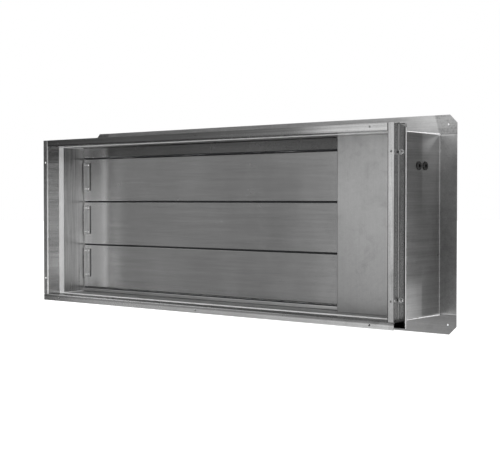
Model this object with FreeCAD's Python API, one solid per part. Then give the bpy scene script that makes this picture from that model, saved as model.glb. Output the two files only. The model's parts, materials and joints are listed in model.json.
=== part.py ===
import FreeCAD, Part
import math
import os

# Fire damper with three level blades in a folded sheet casing. All sizes are in millimetres.
# The origin is the centre of the mounting flange's rear face. +X runs along the blades towards the
# drive compartment, +Y into the wall behind the damper, +Z up. The blades are modelled shut.

V = FreeCAD.Vector

# Clear air passage, and the closed drive compartment beside it
PASSAGE_WIDTH = 880.0
PASSAGE_HEIGHT = 400.0
COMPARTMENT_WIDTH = 200.0

# How far drills and other cutting shapes reach past the faces that they cut
OVERSHOOT = 1.0

# Places closer together than this count as one
SAME_PLACE = 1e-4

# Folded sheet of the casing and of the front frame
SHEET = 1.5
BEND_RADIUS = 1.5
CASING_DEPTH = 172.0
FRAME_DEPTH = 45.0
FRAME_FLANGE = 15.0
JOINT_LIP = 2.5
FLANGE_END_DROP = 6.0
MOUNTING_FLANGE = 43.0
MOUNTING_CORNER_CUT = 18.0
MOUNTING_HOLE_RADIUS = 2.1
MOUNTING_HOLE_OFFSET = 21.5

# Holes in the frame's face, and the bolts that join the frame to the casing
STATION_FROM_CORNER = 60.0
FACE_HOLE_RADIUS = 2.5
FACE_HOLE_EDGE = 7.0
BOLT_RADIUS = 3.0
BOLT_EDGE = 7.5
BOLT_HEAD_WIDTH = 10.0
BOLT_HEAD_HEIGHT = 4.0
NUT_HEIGHT = 5.0
BOLT_TAIL = 3.0
HOLE_CLEARANCE = 0.2

# Pale strip over the joint between frame and casing
STRIP_WIDTH = 15.0
STRIP_THICKNESS = 1.0
STRIP_LAP = 4.0

# Blades, counted from the bottom
BLADE_NAMES = ("lower_blade", "middle_blade", "upper_blade")
BOTTOM_STOP_HEIGHT = 12.0
TOP_STOP_HEIGHT = 30.0
AXIS_FROM_REAR = 75.0
BLADE_THICKNESS = 25.0
BLADE_GAP = 3.5
BLADE_END_GAP = 3.5
BLADE_SKIN = 1.0
BLADE_BEND = 1.0
BLADE_LIP = 5.0
SEAL_THICKNESS = 1.5
SEAL_SIDE_GAP = 0.2
SEAL_RIB_RISE = 1.9
SEAL_RIB_FROM_AXIS = 1.0

# Stops above and below the blades
STOP_FOOT = 9.0
STOP_RIVET_COUNT = 5
STOP_RIVET_MARGIN = 60.0

# Rivets
RIVET_RADIUS = 2.0
RIVET_HEAD_RADIUS = 4.0
RIVET_HEAD_HEIGHT = 1.6

# Clip and stub axle at the left end of each blade
CLIP_SHEET = 2.0
CLIP_LENGTH = 27.0
CLIP_HEIGHT = 82.0
CLIP_CORNER = 5.0
CLIP_RIVET_INSET = 8.0
CLIP_BEAD_WIDTH = 12.0
CLIP_BEAD_RISE = 1.2
CLIP_BEAD_EDGE = 1.0

# Journals, bushes and shafts
JOURNAL_RADIUS = 6.0
RUNNING_CLEARANCE = 0.05
BUSH_WALL = 2.0
BUSH_FLANGE_RADIUS = 12.0
BUSH_FLANGE = 1.0
BUSH_NOSE = 6.0
BUSH_CAP = 1.5
AXLE_END_GAP = 1.5
SHAFT_SEAT = 110.0
SHAFT_RIVET_INSET = 8.0
SQUARE_WIDTH = 8.0
SQUARE_CLEARANCE = 0.05
PEENED_RADIUS = 5.5
PEENED_HEIGHT = 1.5

# Levers, pins and link bar
LEVER_LENGTH = 30.0
LEVER_HUB_RADIUS = 11.0
LEVER_HUB_LENGTH = 12.0
LEVER_TIP_RADIUS = 8.0
LEVER_THICKNESS = 5.0
LEVER_START_ANGLE = -45.0
LEVER_GAP = 0.5
PIN_RADIUS = 3.0
PIN_HEAD_RADIUS = 5.0
PIN_HEAD_HEIGHT = 2.0
PIN_CLEARANCE = 0.1
LINK_WIDTH = 18.0
LINK_THICKNESS = 4.0
LINK_GAP = 0.5

# Drive compartment: partition, covers and the angles that carry the covers
COVER_FROM_REAR = 109.0
COVER_SHEET = 1.0
COVER_RETURN = 10.0
COVER_EDGE_GAP = 0.3
PARTITION_RETURN = 12.0
REAR_COVER_RECESS = 6.0
REAR_PAD_MARGIN = 30.0
REAR_PAD_RISE = 2.0
REAR_PAD_CORNER = 15.0
REAR_PAD_EDGE = 1.2
ANGLE_LEG = 15.0
ANGLE_SIDE_LEG = 12.0
COVER_SCREW_END = 30.0
SCREW_RADIUS = 2.0
SCREW_HEAD_RADIUS = 3.8
SCREW_HEAD_HEIGHT = 2.2
SCREW_DOME = 1.2
SCREW_RECESS_WIDTH = 3.0
SCREW_RECESS_DEPTH = 1.4
SCREW_TAIL = 5.0

# Cable grommets in the right wall
GROMMET_BELOW_TOP = 70.5
GROMMET_FRONT_FROM_REAR = 93.0
GROMMET_SPACING = 27.0
GROMMET_RADIUS = 9.7
GROMMET_NECK_RADIUS = 7.0
GROMMET_BORE_RADIUS = 4.0
GROMMET_LIP = 3.0
GROMMET_EDGE = 1.8
GROMMET_INNER_RADIUS = 8.7
GROMMET_INNER_LIP = 2.0
GROMMET_ROOM = 11.0

# Actuator and its mounting plate
PLATE_STANDOFF = 28.0
PLATE_SHEET = 2.0
PLATE_EDGE = 10.0
PLATE_CORNER = 5.0
PLATE_HOLE_RADIUS = 17.0
SPACER_WIDTH = 10.0
SPACER_FRONT = 20.0
SPACER_REAR = 47.0
SPACER_END_GAP = 15.0
ACTUATOR_WIDTH = 62.0
ACTUATOR_LENGTH = 124.0
ACTUATOR_HUB_END = 35.0
ACTUATOR_BASE_DEPTH = 28.0
ACTUATOR_COVER_DEPTH = 34.0
ACTUATOR_CORNER = 6.0
ACTUATOR_EDGE = 3.0
COVER_INSET = 0.6
EAR_LENGTH = 12.0
EAR_WIDTH = 16.0
EAR_CORNER = 4.0
EAR_THICKNESS = 4.0
OUTPUT_HUB_RADIUS = 14.0
OUTPUT_HUB_CLEARANCE = 0.3
COLLAR_WIDTH = 6.0
COLLAR_RISE = 3.0
POINTER_RADIUS = 18.0
POINTER_THICKNESS = 3.0
POINTER_REACH = 27.0
COVER_RIB_COUNT = 5
COVER_RIB_PITCH = 5.0
COVER_RIB_WIDTH = 2.0
COVER_RIB_DEPTH = 1.0
COVER_RIB_LENGTH = 34.0
WINDING_ABOVE_HUB = 72.0
WINDING_RADIUS = 6.0
WINDING_DEPTH = 8.0
WINDING_HEX_WIDTH = 5.0
WINDING_HEX_DEPTH = 5.5
GLAND_RADIUS = 6.0
GLAND_LENGTH = 12.0
GLAND_BORE_RADIUS = 3.0
GLAND_BORE_DEPTH = 6.0
GLAND_EDGE = 1.5
GLAND_SPACING = 20.0

# Thermal trip sensor
SENSOR_BELOW_TOP = 26.0
SENSOR_FROM_REAR = 42.0
SENSOR_DEPTH = 26.0
SENSOR_WIDTH = 44.0
SENSOR_HEIGHT = 36.0
SENSOR_CORNER = 3.0
SENSOR_EDGE = 1.5
SENSOR_EAR = 8.0
SENSOR_EAR_CORNER = 4.0
SENSOR_EAR_THICKNESS = 3.0
STEM_RADIUS = 5.0
STEM_NUT_WIDTH = 14.0
STEM_NUT_HEIGHT = 4.0
PROBE_RADIUS = 3.0
PROBE_REACH = 31.0
BUTTON_RADIUS = 4.0
BUTTON_EDGE = 0.6
BUTTON_PROUD = 2.5
BUTTON_TRAVEL = 2.0
BUTTON_SINK = 3.0
BUTTON_CLEARANCE = 0.3
BUTTON_RIM_RADIUS = 7.0
BUTTON_RIM_RISE = 0.8

# Places that follow from the sizes above
INNER_X = (PASSAGE_WIDTH + SHEET + COMPARTMENT_WIDTH) / 2
INNER_Z = PASSAGE_HEIGHT / 2
WALL_X = INNER_X + SHEET
WALL_Z = INNER_Z + SHEET
FRAME_X = WALL_X + FRAME_FLANGE
FRAME_Z = WALL_Z + FRAME_FLANGE
JOINT_X = FRAME_X + JOINT_LIP
JOINT_Z = FRAME_Z + JOINT_LIP
MOUNTING_X = WALL_X + MOUNTING_FLANGE
MOUNTING_Z = WALL_Z + MOUNTING_FLANGE
REAR_Y = 0.0
JOINT_Y = REAR_Y - CASING_DEPTH
FRONT_Y = JOINT_Y - FRAME_DEPTH
PARTITION_X = -INNER_X + PASSAGE_WIDTH
COMPARTMENT_X = PARTITION_X + SHEET
COVER_Y = REAR_Y - COVER_FROM_REAR
COVER_SEAT_Y = COVER_Y + COVER_SHEET
REAR_COVER_Y = REAR_Y - REAR_COVER_RECESS
REAR_SEAT_Y = REAR_COVER_Y - COVER_SHEET

BLADE_PITCH = (PASSAGE_HEIGHT - BOTTOM_STOP_HEIGHT - TOP_STOP_HEIGHT) / len(BLADE_NAMES)
PIVOT_OFFSET = (TOP_STOP_HEIGHT - BOTTOM_STOP_HEIGHT) / 2
BLADE_ABOVE = (BLADE_PITCH - BLADE_GAP) / 2 - PIVOT_OFFSET
BLADE_BELOW = (BLADE_PITCH - BLADE_GAP) / 2 + PIVOT_OFFSET
AXIS_Y = REAR_Y - AXIS_FROM_REAR
AXIS_Z = [-INNER_Z + BOTTOM_STOP_HEIGHT + (index + 0.5) * BLADE_PITCH + PIVOT_OFFSET
          for index in range(len(BLADE_NAMES))]
BLADE_FRONT = AXIS_Y - BLADE_THICKNESS / 2
BLADE_REAR = AXIS_Y + BLADE_THICKNESS / 2
BLADE_LEFT = -INNER_X + BLADE_END_GAP
BLADE_RIGHT = PARTITION_X - BLADE_END_GAP
DRIVEN = len(BLADE_NAMES) // 2

BUSH_RADIUS = JOURNAL_RADIUS + RUNNING_CLEARANCE + BUSH_WALL
BUSH_END_X = COMPARTMENT_X + BUSH_NOSE
LEVER_X = BUSH_END_X + LEVER_GAP
LINK_X = LEVER_X + LEVER_THICKNESS + LINK_GAP
PIN_END_X = LINK_X + LINK_THICKNESS + LINK_GAP
PLATE_X = COMPARTMENT_X + PLATE_STANDOFF
ACTUATOR_X = PLATE_X + PLATE_SHEET
ACTUATOR_SPLIT_X = ACTUATOR_X + ACTUATOR_BASE_DEPTH
ACTUATOR_END_X = ACTUATOR_SPLIT_X + ACTUATOR_COVER_DEPTH
POINTER_X = ACTUATOR_END_X + COLLAR_RISE + OUTPUT_HUB_CLEARANCE
HUB_END_X = POINTER_X + POINTER_THICKNESS
ACTUATOR_LOW_Z = AXIS_Z[DRIVEN] - ACTUATOR_HUB_END
ACTUATOR_HIGH_Z = ACTUATOR_LOW_Z + ACTUATOR_LENGTH
SENSOR_Y = REAR_Y - SENSOR_FROM_REAR
SENSOR_Z = INNER_Z - SENSOR_BELOW_TOP
SENSOR_X = COMPARTMENT_X + SENSOR_DEPTH
GROMMET_Z = INNER_Z - GROMMET_BELOW_TOP
GROMMET_Y = [REAR_Y - GROMMET_FRONT_FROM_REAR, REAR_Y - GROMMET_FRONT_FROM_REAR + GROMMET_SPACING]


def box(x_span, y_span, z_span):
    """A block between the given low and high values."""
    return Part.makeBox(x_span[1] - x_span[0], y_span[1] - y_span[0], z_span[1] - z_span[0],
                        V(x_span[0], y_span[0], z_span[0]))


def rod(start, end, radius):
    """A round bar from start to end."""
    return Part.makeCylinder(radius, (end - start).Length, start, end - start)


def prism(points, run):
    """A flat outline drawn out along run."""
    return Part.Face(Part.makePolygon(points + [points[0]])).extrude(run)


def hexagon_bar(start, end, width):
    """A hexagonal bar from start to end, width across its flats."""
    corner = width / math.sqrt(3)
    outline = [V(corner * math.cos(math.radians(60 * step)), corner * math.sin(math.radians(60 * step)), 0)
               for step in range(6)]
    bar = prism(outline, V(0, 0, (end - start).Length))
    bar.Placement = FreeCAD.Placement(start, FreeCAD.Rotation(V(0, 0, 1), end - start))
    return bar


def join(shapes):
    """One solid from shapes that touch or overlap."""
    whole = shapes[0].multiFuse(shapes[1:]) if len(shapes) > 1 else shapes[0]
    return whole.removeSplitter()


def cut(shape, tools):
    """Shape with every tool taken out of it."""
    return shape.cut(tools) if tools else shape


def edges_where(shape, test):
    """The shape's edges whose two ends both pass the test."""
    return [edge for edge in shape.Edges if all(test(vertex.Point) for vertex in edge.Vertexes)]


def near(value, target):
    return abs(value - target) < SAME_PLACE


def rim_at(shape, axis, place):
    """The shape's edges that lie in the plane at the given place along axis, "x", "y" or "z"."""
    return edges_where(shape, lambda point: near(getattr(point, axis), place))


def edges_along(shape, axis):
    """The shape's straight edges that run along axis, "x", "y" or "z"."""
    others = [other for other in "xyz" if other != axis]
    return [edge for edge in shape.Edges if len(edge.Vertexes) == 2
            and all(near(getattr(edge.Vertexes[0].Point, other), getattr(edge.Vertexes[1].Point, other))
                    for other in others)]


def mirrored_x(shape):
    return shape.mirror(V(0, 0, 0), V(1, 0, 0))


def mirrored_z(shape):
    return shape.mirror(V(0, 0, 0), V(0, 0, 1))


def rounded_line(points, radii):
    """Edges along the points, with an arc of the given radius at each inner point."""
    edges = []
    start = points[0]
    for before, corner, after, radius in zip(points, points[1:], points[2:], radii):
        to_before = (before - corner).normalize()
        to_after = (after - corner).normalize()
        half_turn = (math.pi - to_before.getAngle(to_after)) / 2
        if radius <= 0:
            edges.append(Part.makeLine(start, corner))
            start = corner
            continue
        reach = radius * math.tan(half_turn)
        arc_start = corner + to_before * reach
        arc_end = corner + to_after * reach
        inwards = (to_before + to_after).normalize()
        arc_middle = corner + inwards * (radius / math.cos(half_turn) - radius)
        edges.append(Part.makeLine(start, arc_start))
        edges.append(Part.Arc(arc_start, arc_middle, arc_end).toShape())
        start = arc_end
    edges.append(Part.makeLine(start, points[-1]))
    return edges


def folded_sheet(points, thickness, bend_radius, run):
    """A sheet folded along points and drawn out along run.

    Its thickness lies on the side that run x direction points to, and bend_radius is the inside radius.
    """
    along = V(run).normalize()
    normals = [along.cross(second - first).normalize() for first, second in zip(points, points[1:])]
    offset = [points[0] + normals[0] * thickness]
    for before, after, corner in zip(normals, normals[1:], points[1:]):
        offset.append(corner + (before + after) * (thickness / (1 + before.dot(after))))
    offset.append(points[-1] + normals[-1] * thickness)
    path_radii = []
    offset_radii = []
    for before, corner, after, normal in zip(points, points[1:], points[2:], normals):
        offset_is_inside = (after - corner).dot(normal) > 0
        path_radii.append(bend_radius + thickness if offset_is_inside else bend_radius)
        offset_radii.append(bend_radius if offset_is_inside else bend_radius + thickness)
    edges = rounded_line(points, path_radii) + rounded_line(offset, offset_radii)
    edges.append(Part.makeLine(points[0], offset[0]))
    edges.append(Part.makeLine(points[-1], offset[-1]))
    return Part.Face(Part.Wire(Part.__sortEdges__(edges))).extrude(run)


def rounded_block(x_span, y_span, z_span, corner, end_edge):
    """A block with round corners along X, and a small round on the rim of its +X end."""
    block = box(x_span, y_span, z_span)
    block = block.makeFillet(corner, edges_along(block, "x"))
    return block.makeFillet(end_edge, rim_at(block, "x", x_span[1])) if end_edge else block


def dome(seat, outwards, radius, height):
    """A cap of a ball that stands on seat."""
    ball_radius = (radius * radius + height * height) / (2 * height)
    below = ball_radius - height
    return Part.makeSphere(ball_radius, seat - outwards * below, outwards,
                           math.degrees(math.asin(below / ball_radius)), 90, 360)


def rivet(start, end, headed_ends=1):
    """A rivet from start to end, with a round head past the end and, with two headed ends, past both."""
    outwards = (end - start).normalize()
    pieces = [rod(start, end, RIVET_RADIUS), dome(end, outwards, RIVET_HEAD_RADIUS, RIVET_HEAD_HEIGHT)]
    if headed_ends == 2:
        pieces.append(dome(start, outwards * -1, RIVET_HEAD_RADIUS, RIVET_HEAD_HEIGHT))
    return join(pieces)


def pan_screw(seat, outwards, tail=SCREW_TAIL):
    """A screw whose head stands on seat, with a hexagonal recess in the head."""
    top = seat + outwards * SCREW_HEAD_HEIGHT
    dome_seat = top - outwards * SCREW_DOME
    screw = join([rod(seat - outwards * tail, seat, SCREW_RADIUS), rod(seat, dome_seat, SCREW_HEAD_RADIUS),
                  dome(dome_seat, outwards, SCREW_HEAD_RADIUS, SCREW_DOME)])
    recess = hexagon_bar(top - outwards * SCREW_RECESS_DEPTH, top + outwards * OVERSHOOT, SCREW_RECESS_WIDTH)
    return screw.cut(recess)


def face_stations(edge):
    """Places on the frame's face, edge away from its rim: on the sides and on the top and bottom."""
    side_x = FRAME_X - edge
    side_z = FRAME_Z - STATION_FROM_CORNER
    long_x = FRAME_X - STATION_FROM_CORNER
    long_z = FRAME_Z - edge
    sides = [(x, z) for x in (-side_x, side_x) for z in (-side_z, side_z)]
    return sides + [(x, z) for x in (-long_x, 0.0, long_x) for z in (-long_z, long_z)]


def holes_along_y(places, radius, y_span):
    """Round drills along Y at the given X and Z places."""
    return [rod(V(x, y_span[0], z), V(x, y_span[1], z), radius) for x, z in places]


def bolt_drills():
    """Drills for the bolts through the frame's rear flange and the casing's front flange."""
    return holes_along_y(face_stations(BOLT_EDGE), BOLT_RADIUS + HOLE_CLEARANCE,
                         (JOINT_Y - 2 * SHEET, JOINT_Y + 2 * SHEET))


def mounting_drills():
    x = WALL_X + MOUNTING_HOLE_OFFSET
    z = WALL_Z + MOUNTING_HOLE_OFFSET
    places = [(-x, -z), (-x, z), (x, -z), (x, z)]
    return holes_along_y(places, MOUNTING_HOLE_RADIUS, (REAR_Y - 2 * SHEET, REAR_Y + SHEET))


def stop_rivet_places():
    """X and Y of the rivets through each stop's feet, which take turns between the two feet."""
    length = PARTITION_X + INNER_X
    step = (length - 2 * STOP_RIVET_MARGIN) / (STOP_RIVET_COUNT - 1)
    front_y = BLADE_FRONT + (SHEET + STOP_FOOT) / 2
    rear_y = BLADE_REAR - (SHEET + STOP_FOOT) / 2
    return [(-INNER_X + STOP_RIVET_MARGIN + index * step, rear_y if index % 2 else front_y)
            for index in range(STOP_RIVET_COUNT)]


def casing_top_panel():
    """Top wall with its front flange and the mounting flange that also covers the corners."""
    path = [V(-WALL_X, JOINT_Y, JOINT_Z), V(-WALL_X, JOINT_Y, INNER_Z),
            V(-WALL_X, REAR_Y, INNER_Z), V(-WALL_X, REAR_Y, MOUNTING_Z)]
    wall = folded_sheet(path, SHEET, BEND_RADIUS, V(2 * WALL_X, 0, 0))
    corner = prism([V(WALL_X, REAR_Y - SHEET, INNER_Z), V(MOUNTING_X, REAR_Y - SHEET, INNER_Z),
                    V(MOUNTING_X, REAR_Y - SHEET, MOUNTING_Z - MOUNTING_CORNER_CUT),
                    V(MOUNTING_X - MOUNTING_CORNER_CUT, REAR_Y - SHEET, MOUNTING_Z),
                    V(WALL_X, REAR_Y - SHEET, MOUNTING_Z)], V(0, SHEET, 0))
    panel = join([wall, corner, mirrored_x(corner)])
    rivet_drills = [rod(V(x, y, INNER_Z - SHEET), V(x, y, WALL_Z + SHEET), RIVET_RADIUS + HOLE_CLEARANCE)
                    for x, y in stop_rivet_places()]
    return cut(panel, mounting_drills() + bolt_drills() + rivet_drills)


def casing_right_panel():
    """Right wall with its two flanges and the holes for the cable grommets."""
    panel = casing_side_blank()
    grommet_drills = [rod(V(INNER_X - SHEET, y, GROMMET_Z), V(WALL_X + SHEET, y, GROMMET_Z),
                          GROMMET_NECK_RADIUS) for y in GROMMET_Y]
    return cut(panel, bolt_drills() + grommet_drills)


def casing_left_panel():
    """Left wall with its two flanges and the holes for the blades' bushes."""
    bush_drills = [rod(V(-WALL_X - SHEET, AXIS_Y, z), V(-INNER_X + SHEET, AXIS_Y, z), BUSH_RADIUS)
                   for z in AXIS_Z]
    return cut(mirrored_x(casing_side_blank()), bolt_drills() + bush_drills)


def casing_side_blank():
    path = [V(JOINT_X, JOINT_Y, INNER_Z), V(INNER_X, JOINT_Y, INNER_Z),
            V(INNER_X, REAR_Y, INNER_Z), V(MOUNTING_X, REAR_Y, INNER_Z)]
    wall = folded_sheet(path, SHEET, BEND_RADIUS, V(0, 0, -2 * INNER_Z))
    flange_end = box((WALL_X, JOINT_X), (JOINT_Y, JOINT_Y + SHEET), (INNER_Z, FRAME_Z))
    return join([wall, flange_end, mirrored_z(flange_end)])


def frame_rail(low_x, high_x):
    """A top rail of the front frame: a U-channel open upwards, between the given X values."""
    path = [V(low_x, FRONT_Y, FRAME_Z), V(low_x, FRONT_Y, INNER_Z),
            V(low_x, JOINT_Y, INNER_Z), V(low_x, JOINT_Y, FRAME_Z)]
    return folded_sheet(path, SHEET, BEND_RADIUS, V(high_x - low_x, 0, 0))


def face_drills():
    return holes_along_y(face_stations(FACE_HOLE_EDGE), FACE_HOLE_RADIUS,
                         (FRONT_Y - SHEET, FRONT_Y + 2 * SHEET))


def front_frame_top():
    return cut(frame_rail(-INNER_X, INNER_X), face_drills() + bolt_drills())


def front_frame_bottom():
    return cut(mirrored_z(frame_rail(-FRAME_X, FRAME_X)), face_drills() + bolt_drills())


def front_frame_right():
    """Right upright: a U-channel open to the right that stands on the bottom rail."""
    path = [V(FRAME_X, FRONT_Y, FRAME_Z), V(INNER_X, FRONT_Y, FRAME_Z),
            V(INNER_X, JOINT_Y, FRAME_Z), V(FRAME_X, JOINT_Y, FRAME_Z)]
    upright = folded_sheet(path, SHEET, BEND_RADIUS, V(0, 0, -(FRAME_Z + INNER_Z)))
    oblique_end = prism([V(WALL_X, JOINT_Y - SHEET, FRAME_Z), V(FRAME_X, JOINT_Y - SHEET, FRAME_Z),
                         V(FRAME_X, JOINT_Y - SHEET, FRAME_Z - FLANGE_END_DROP)], V(0, SHEET, 0))
    return cut(upright, [oblique_end] + face_drills() + bolt_drills())


def joint_seal_strips():
    """Four strips on the inner walls that hide the joint between frame and casing."""
    y_span = (JOINT_Y - STRIP_LAP, JOINT_Y - STRIP_LAP + STRIP_WIDTH)
    side = box((INNER_X - STRIP_THICKNESS, INNER_X), y_span, (-INNER_Z, INNER_Z))
    inner = INNER_X - STRIP_THICKNESS
    top = box((-inner, inner), y_span, (INNER_Z - STRIP_THICKNESS, INNER_Z))
    return [side, mirrored_x(side), top, mirrored_z(top)]


def frame_bolts():
    """Hexagon bolts whose heads lie in the groove of the frame."""
    bolts = []
    for x, z in face_stations(BOLT_EDGE):
        seat = V(x, JOINT_Y - SHEET, z)
        head = hexagon_bar(V(x, JOINT_Y - SHEET - BOLT_HEAD_HEIGHT, z), seat, BOLT_HEAD_WIDTH)
        shank = rod(seat, V(x, JOINT_Y + SHEET + NUT_HEIGHT + BOLT_TAIL, z), BOLT_RADIUS)
        bolts.append(join([head, shank]))
    return bolts


def frame_nuts():
    """Hexagon nuts behind the casing's front flange."""
    nuts = []
    for x, z in face_stations(BOLT_EDGE):
        low = V(x, JOINT_Y + SHEET, z)
        high = V(x, JOINT_Y + SHEET + NUT_HEIGHT, z)
        nuts.append(hexagon_bar(low, high, BOLT_HEAD_WIDTH).cut(rod(low, high, BOLT_RADIUS)))
    return nuts


def blade_stop(height, drills):
    """A folded stop that hangs from the top wall: as thick as a blade, with its two feet turned inwards."""
    edge_z = INNER_Z - height + BLADE_GAP / 2
    path = [V(-INNER_X, BLADE_FRONT + STOP_FOOT, INNER_Z), V(-INNER_X, BLADE_FRONT, INNER_Z),
            V(-INNER_X, BLADE_FRONT, edge_z), V(-INNER_X, BLADE_REAR, edge_z),
            V(-INNER_X, BLADE_REAR, INNER_Z), V(-INNER_X, BLADE_REAR - STOP_FOOT, INNER_Z)]
    return cut(folded_sheet(path, SHEET, BEND_RADIUS, V(PASSAGE_WIDTH, 0, 0)), drills)


def stop_drills():
    return [rod(V(x, y, INNER_Z - 2 * SHEET), V(x, y, WALL_Z), RIVET_RADIUS + HOLE_CLEARANCE)
            for x, y in stop_rivet_places()]


def stop_rivets():
    """Rivets through the top and bottom walls into the feet of the stops."""
    top = [rivet(V(x, y, INNER_Z - SHEET), V(x, y, WALL_Z)) for x, y in stop_rivet_places()]
    return top + [mirrored_z(shape) for shape in top]


def compartment_partition():
    """Wall between passage and compartment, with a return on all four sides, open to the right."""
    y_span = (COVER_SEAT_Y, REAR_SEAT_Y)
    outer = folded_pan((PARTITION_X, PARTITION_X + PARTITION_RETURN), y_span, (-INNER_Z, INNER_Z), SHEET)
    bush_drills = [rod(V(PARTITION_X - SHEET, AXIS_Y, z), V(COMPARTMENT_X + SHEET, AXIS_Y, z), BUSH_RADIUS)
                   for z in AXIS_Z]
    stem_drill = rod(V(PARTITION_X - SHEET, SENSOR_Y, SENSOR_Z), V(COMPARTMENT_X + SHEET, SENSOR_Y, SENSOR_Z),
                     STEM_RADIUS + HOLE_CLEARANCE)
    return cut(outer, bush_drills + [stem_drill] + rear_screw_drills())


def folded_pan(x_span, y_span, z_span, sheet):
    """A shallow pan whose floor is at the low end of X."""
    outer = box(x_span, y_span, z_span)
    outer = outer.makeFillet(BEND_RADIUS + sheet, rim_at(outer, "x", x_span[0]))
    inner = box((x_span[0] + sheet, x_span[1] + OVERSHOOT), (y_span[0] + sheet, y_span[1] - sheet),
                (z_span[0] + sheet, z_span[1] - sheet))
    return outer.cut(inner.makeFillet(BEND_RADIUS, rim_at(inner, "x", x_span[0] + sheet)))


def cover_screw_heights():
    top = INNER_Z - COVER_SCREW_END
    return (-top, 0.0, top)


def angle_screw_x():
    return INNER_X - ANGLE_LEG / 2


def front_screw_drills():
    places = [(angle_screw_x(), z) for z in cover_screw_heights()]
    return holes_along_y(places, SCREW_RADIUS + HOLE_CLEARANCE, (COVER_Y - SHEET, COVER_SEAT_Y + 2 * SHEET))


def rear_screw_places():
    left_x = PARTITION_X + (SHEET + PARTITION_RETURN) / 2
    return [(x, z) for x in (left_x, angle_screw_x()) for z in cover_screw_heights()]


def rear_screw_drills():
    return holes_along_y(rear_screw_places(), SCREW_RADIUS + HOLE_CLEARANCE,
                         (REAR_SEAT_Y - 2 * SHEET, REAR_Y))


def cover_angles():
    """Two angles on the right wall that carry the right edges of the covers."""
    front_path = [V(INNER_X - ANGLE_LEG, COVER_SEAT_Y, -INNER_Z), V(INNER_X, COVER_SEAT_Y, -INNER_Z),
                  V(INNER_X, COVER_SEAT_Y + ANGLE_SIDE_LEG, -INNER_Z)]
    front = folded_sheet(front_path, SHEET, BEND_RADIUS, V(0, 0, 2 * INNER_Z))
    rear_path = [V(INNER_X, REAR_SEAT_Y - ANGLE_SIDE_LEG, -INNER_Z), V(INNER_X, REAR_SEAT_Y, -INNER_Z),
                 V(INNER_X - ANGLE_LEG, REAR_SEAT_Y, -INNER_Z)]
    rear = folded_sheet(rear_path, SHEET, BEND_RADIUS, V(0, 0, 2 * INNER_Z))
    grommet_room = [rod(V(INNER_X - 2 * SHEET, y, GROMMET_Z), V(INNER_X + SHEET, y, GROMMET_Z),
                        GROMMET_ROOM) for y in GROMMET_Y]
    return [cut(front, front_screw_drills() + grommet_room), cut(rear, rear_screw_drills() + grommet_room)]


def compartment_front_cover():
    """Smooth cover whose left edge is folded back round the partition."""
    low_z = -INNER_Z + COVER_EDGE_GAP
    left_x = PARTITION_X - COVER_SHEET
    path = [V(left_x, COVER_Y + COVER_RETURN, low_z), V(left_x, COVER_Y, low_z),
            V(INNER_X - COVER_EDGE_GAP, COVER_Y, low_z)]
    cover = folded_sheet(path, COVER_SHEET, COVER_SHEET, V(0, 0, 2 * (INNER_Z - COVER_EDGE_GAP)))
    return cut(cover, front_screw_drills())


def compartment_rear_cover():
    """Flat rear cover with a raised pad that stiffens it, set in front of the mounting flange's face."""
    x_span = (PARTITION_X + COVER_EDGE_GAP, INNER_X - COVER_EDGE_GAP)
    z_high = INNER_Z - COVER_EDGE_GAP
    plate = box(x_span, (REAR_SEAT_Y, REAR_COVER_Y), (-z_high, z_high))
    pad_x = (x_span[0] + REAR_PAD_MARGIN, x_span[1] - REAR_PAD_MARGIN)
    pad_z = (-z_high + REAR_PAD_MARGIN, z_high - REAR_PAD_MARGIN)
    pad = pad_block(pad_x, (REAR_COVER_Y, REAR_COVER_Y + REAR_PAD_RISE), pad_z)
    hollow = pad_block((pad_x[0] + COVER_SHEET, pad_x[1] - COVER_SHEET),
                       (REAR_SEAT_Y, REAR_SEAT_Y + REAR_PAD_RISE),
                       (pad_z[0] + COVER_SHEET, pad_z[1] - COVER_SHEET))
    return cut(join([plate, pad]), [hollow] + rear_screw_drills())


def pad_block(x_span, y_span, z_span):
    """A low block with round corners in plan and a round rim at its high Y side."""
    block = box(x_span, y_span, z_span)
    block = block.makeFillet(REAR_PAD_CORNER, edges_along(block, "y"))
    return block.makeFillet(REAR_PAD_EDGE, rim_at(block, "y", y_span[1]))


def cover_screws():
    """Screws of the front cover and of the rear cover."""
    front = [pan_screw(V(angle_screw_x(), COVER_Y, z), V(0, -1, 0)) for z in cover_screw_heights()]
    return front + [pan_screw(V(x, REAR_COVER_Y, z), V(0, 1, 0)) for x, z in rear_screw_places()]


def cable_grommets():
    """Rubber grommets: a neck in the wall, a rounded lip outside and a flat lip inside."""
    outer_x = WALL_X + GROMMET_LIP
    inner_x = INNER_X - GROMMET_INNER_LIP
    grommets = []
    for y in GROMMET_Y:
        lip = rod(V(WALL_X, y, GROMMET_Z), V(outer_x, y, GROMMET_Z), GROMMET_RADIUS)
        lip = lip.makeFillet(GROMMET_EDGE, rim_at(lip, "x", outer_x))
        neck = rod(V(INNER_X, y, GROMMET_Z), V(WALL_X, y, GROMMET_Z), GROMMET_NECK_RADIUS)
        inner_lip = rod(V(inner_x, y, GROMMET_Z), V(INNER_X, y, GROMMET_Z), GROMMET_INNER_RADIUS)
        bore = rod(V(inner_x, y, GROMMET_Z), V(outer_x, y, GROMMET_Z), GROMMET_BORE_RADIUS)
        grommets.append(cut(join([lip, neck, inner_lip]), [bore]))
    return grommets


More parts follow.
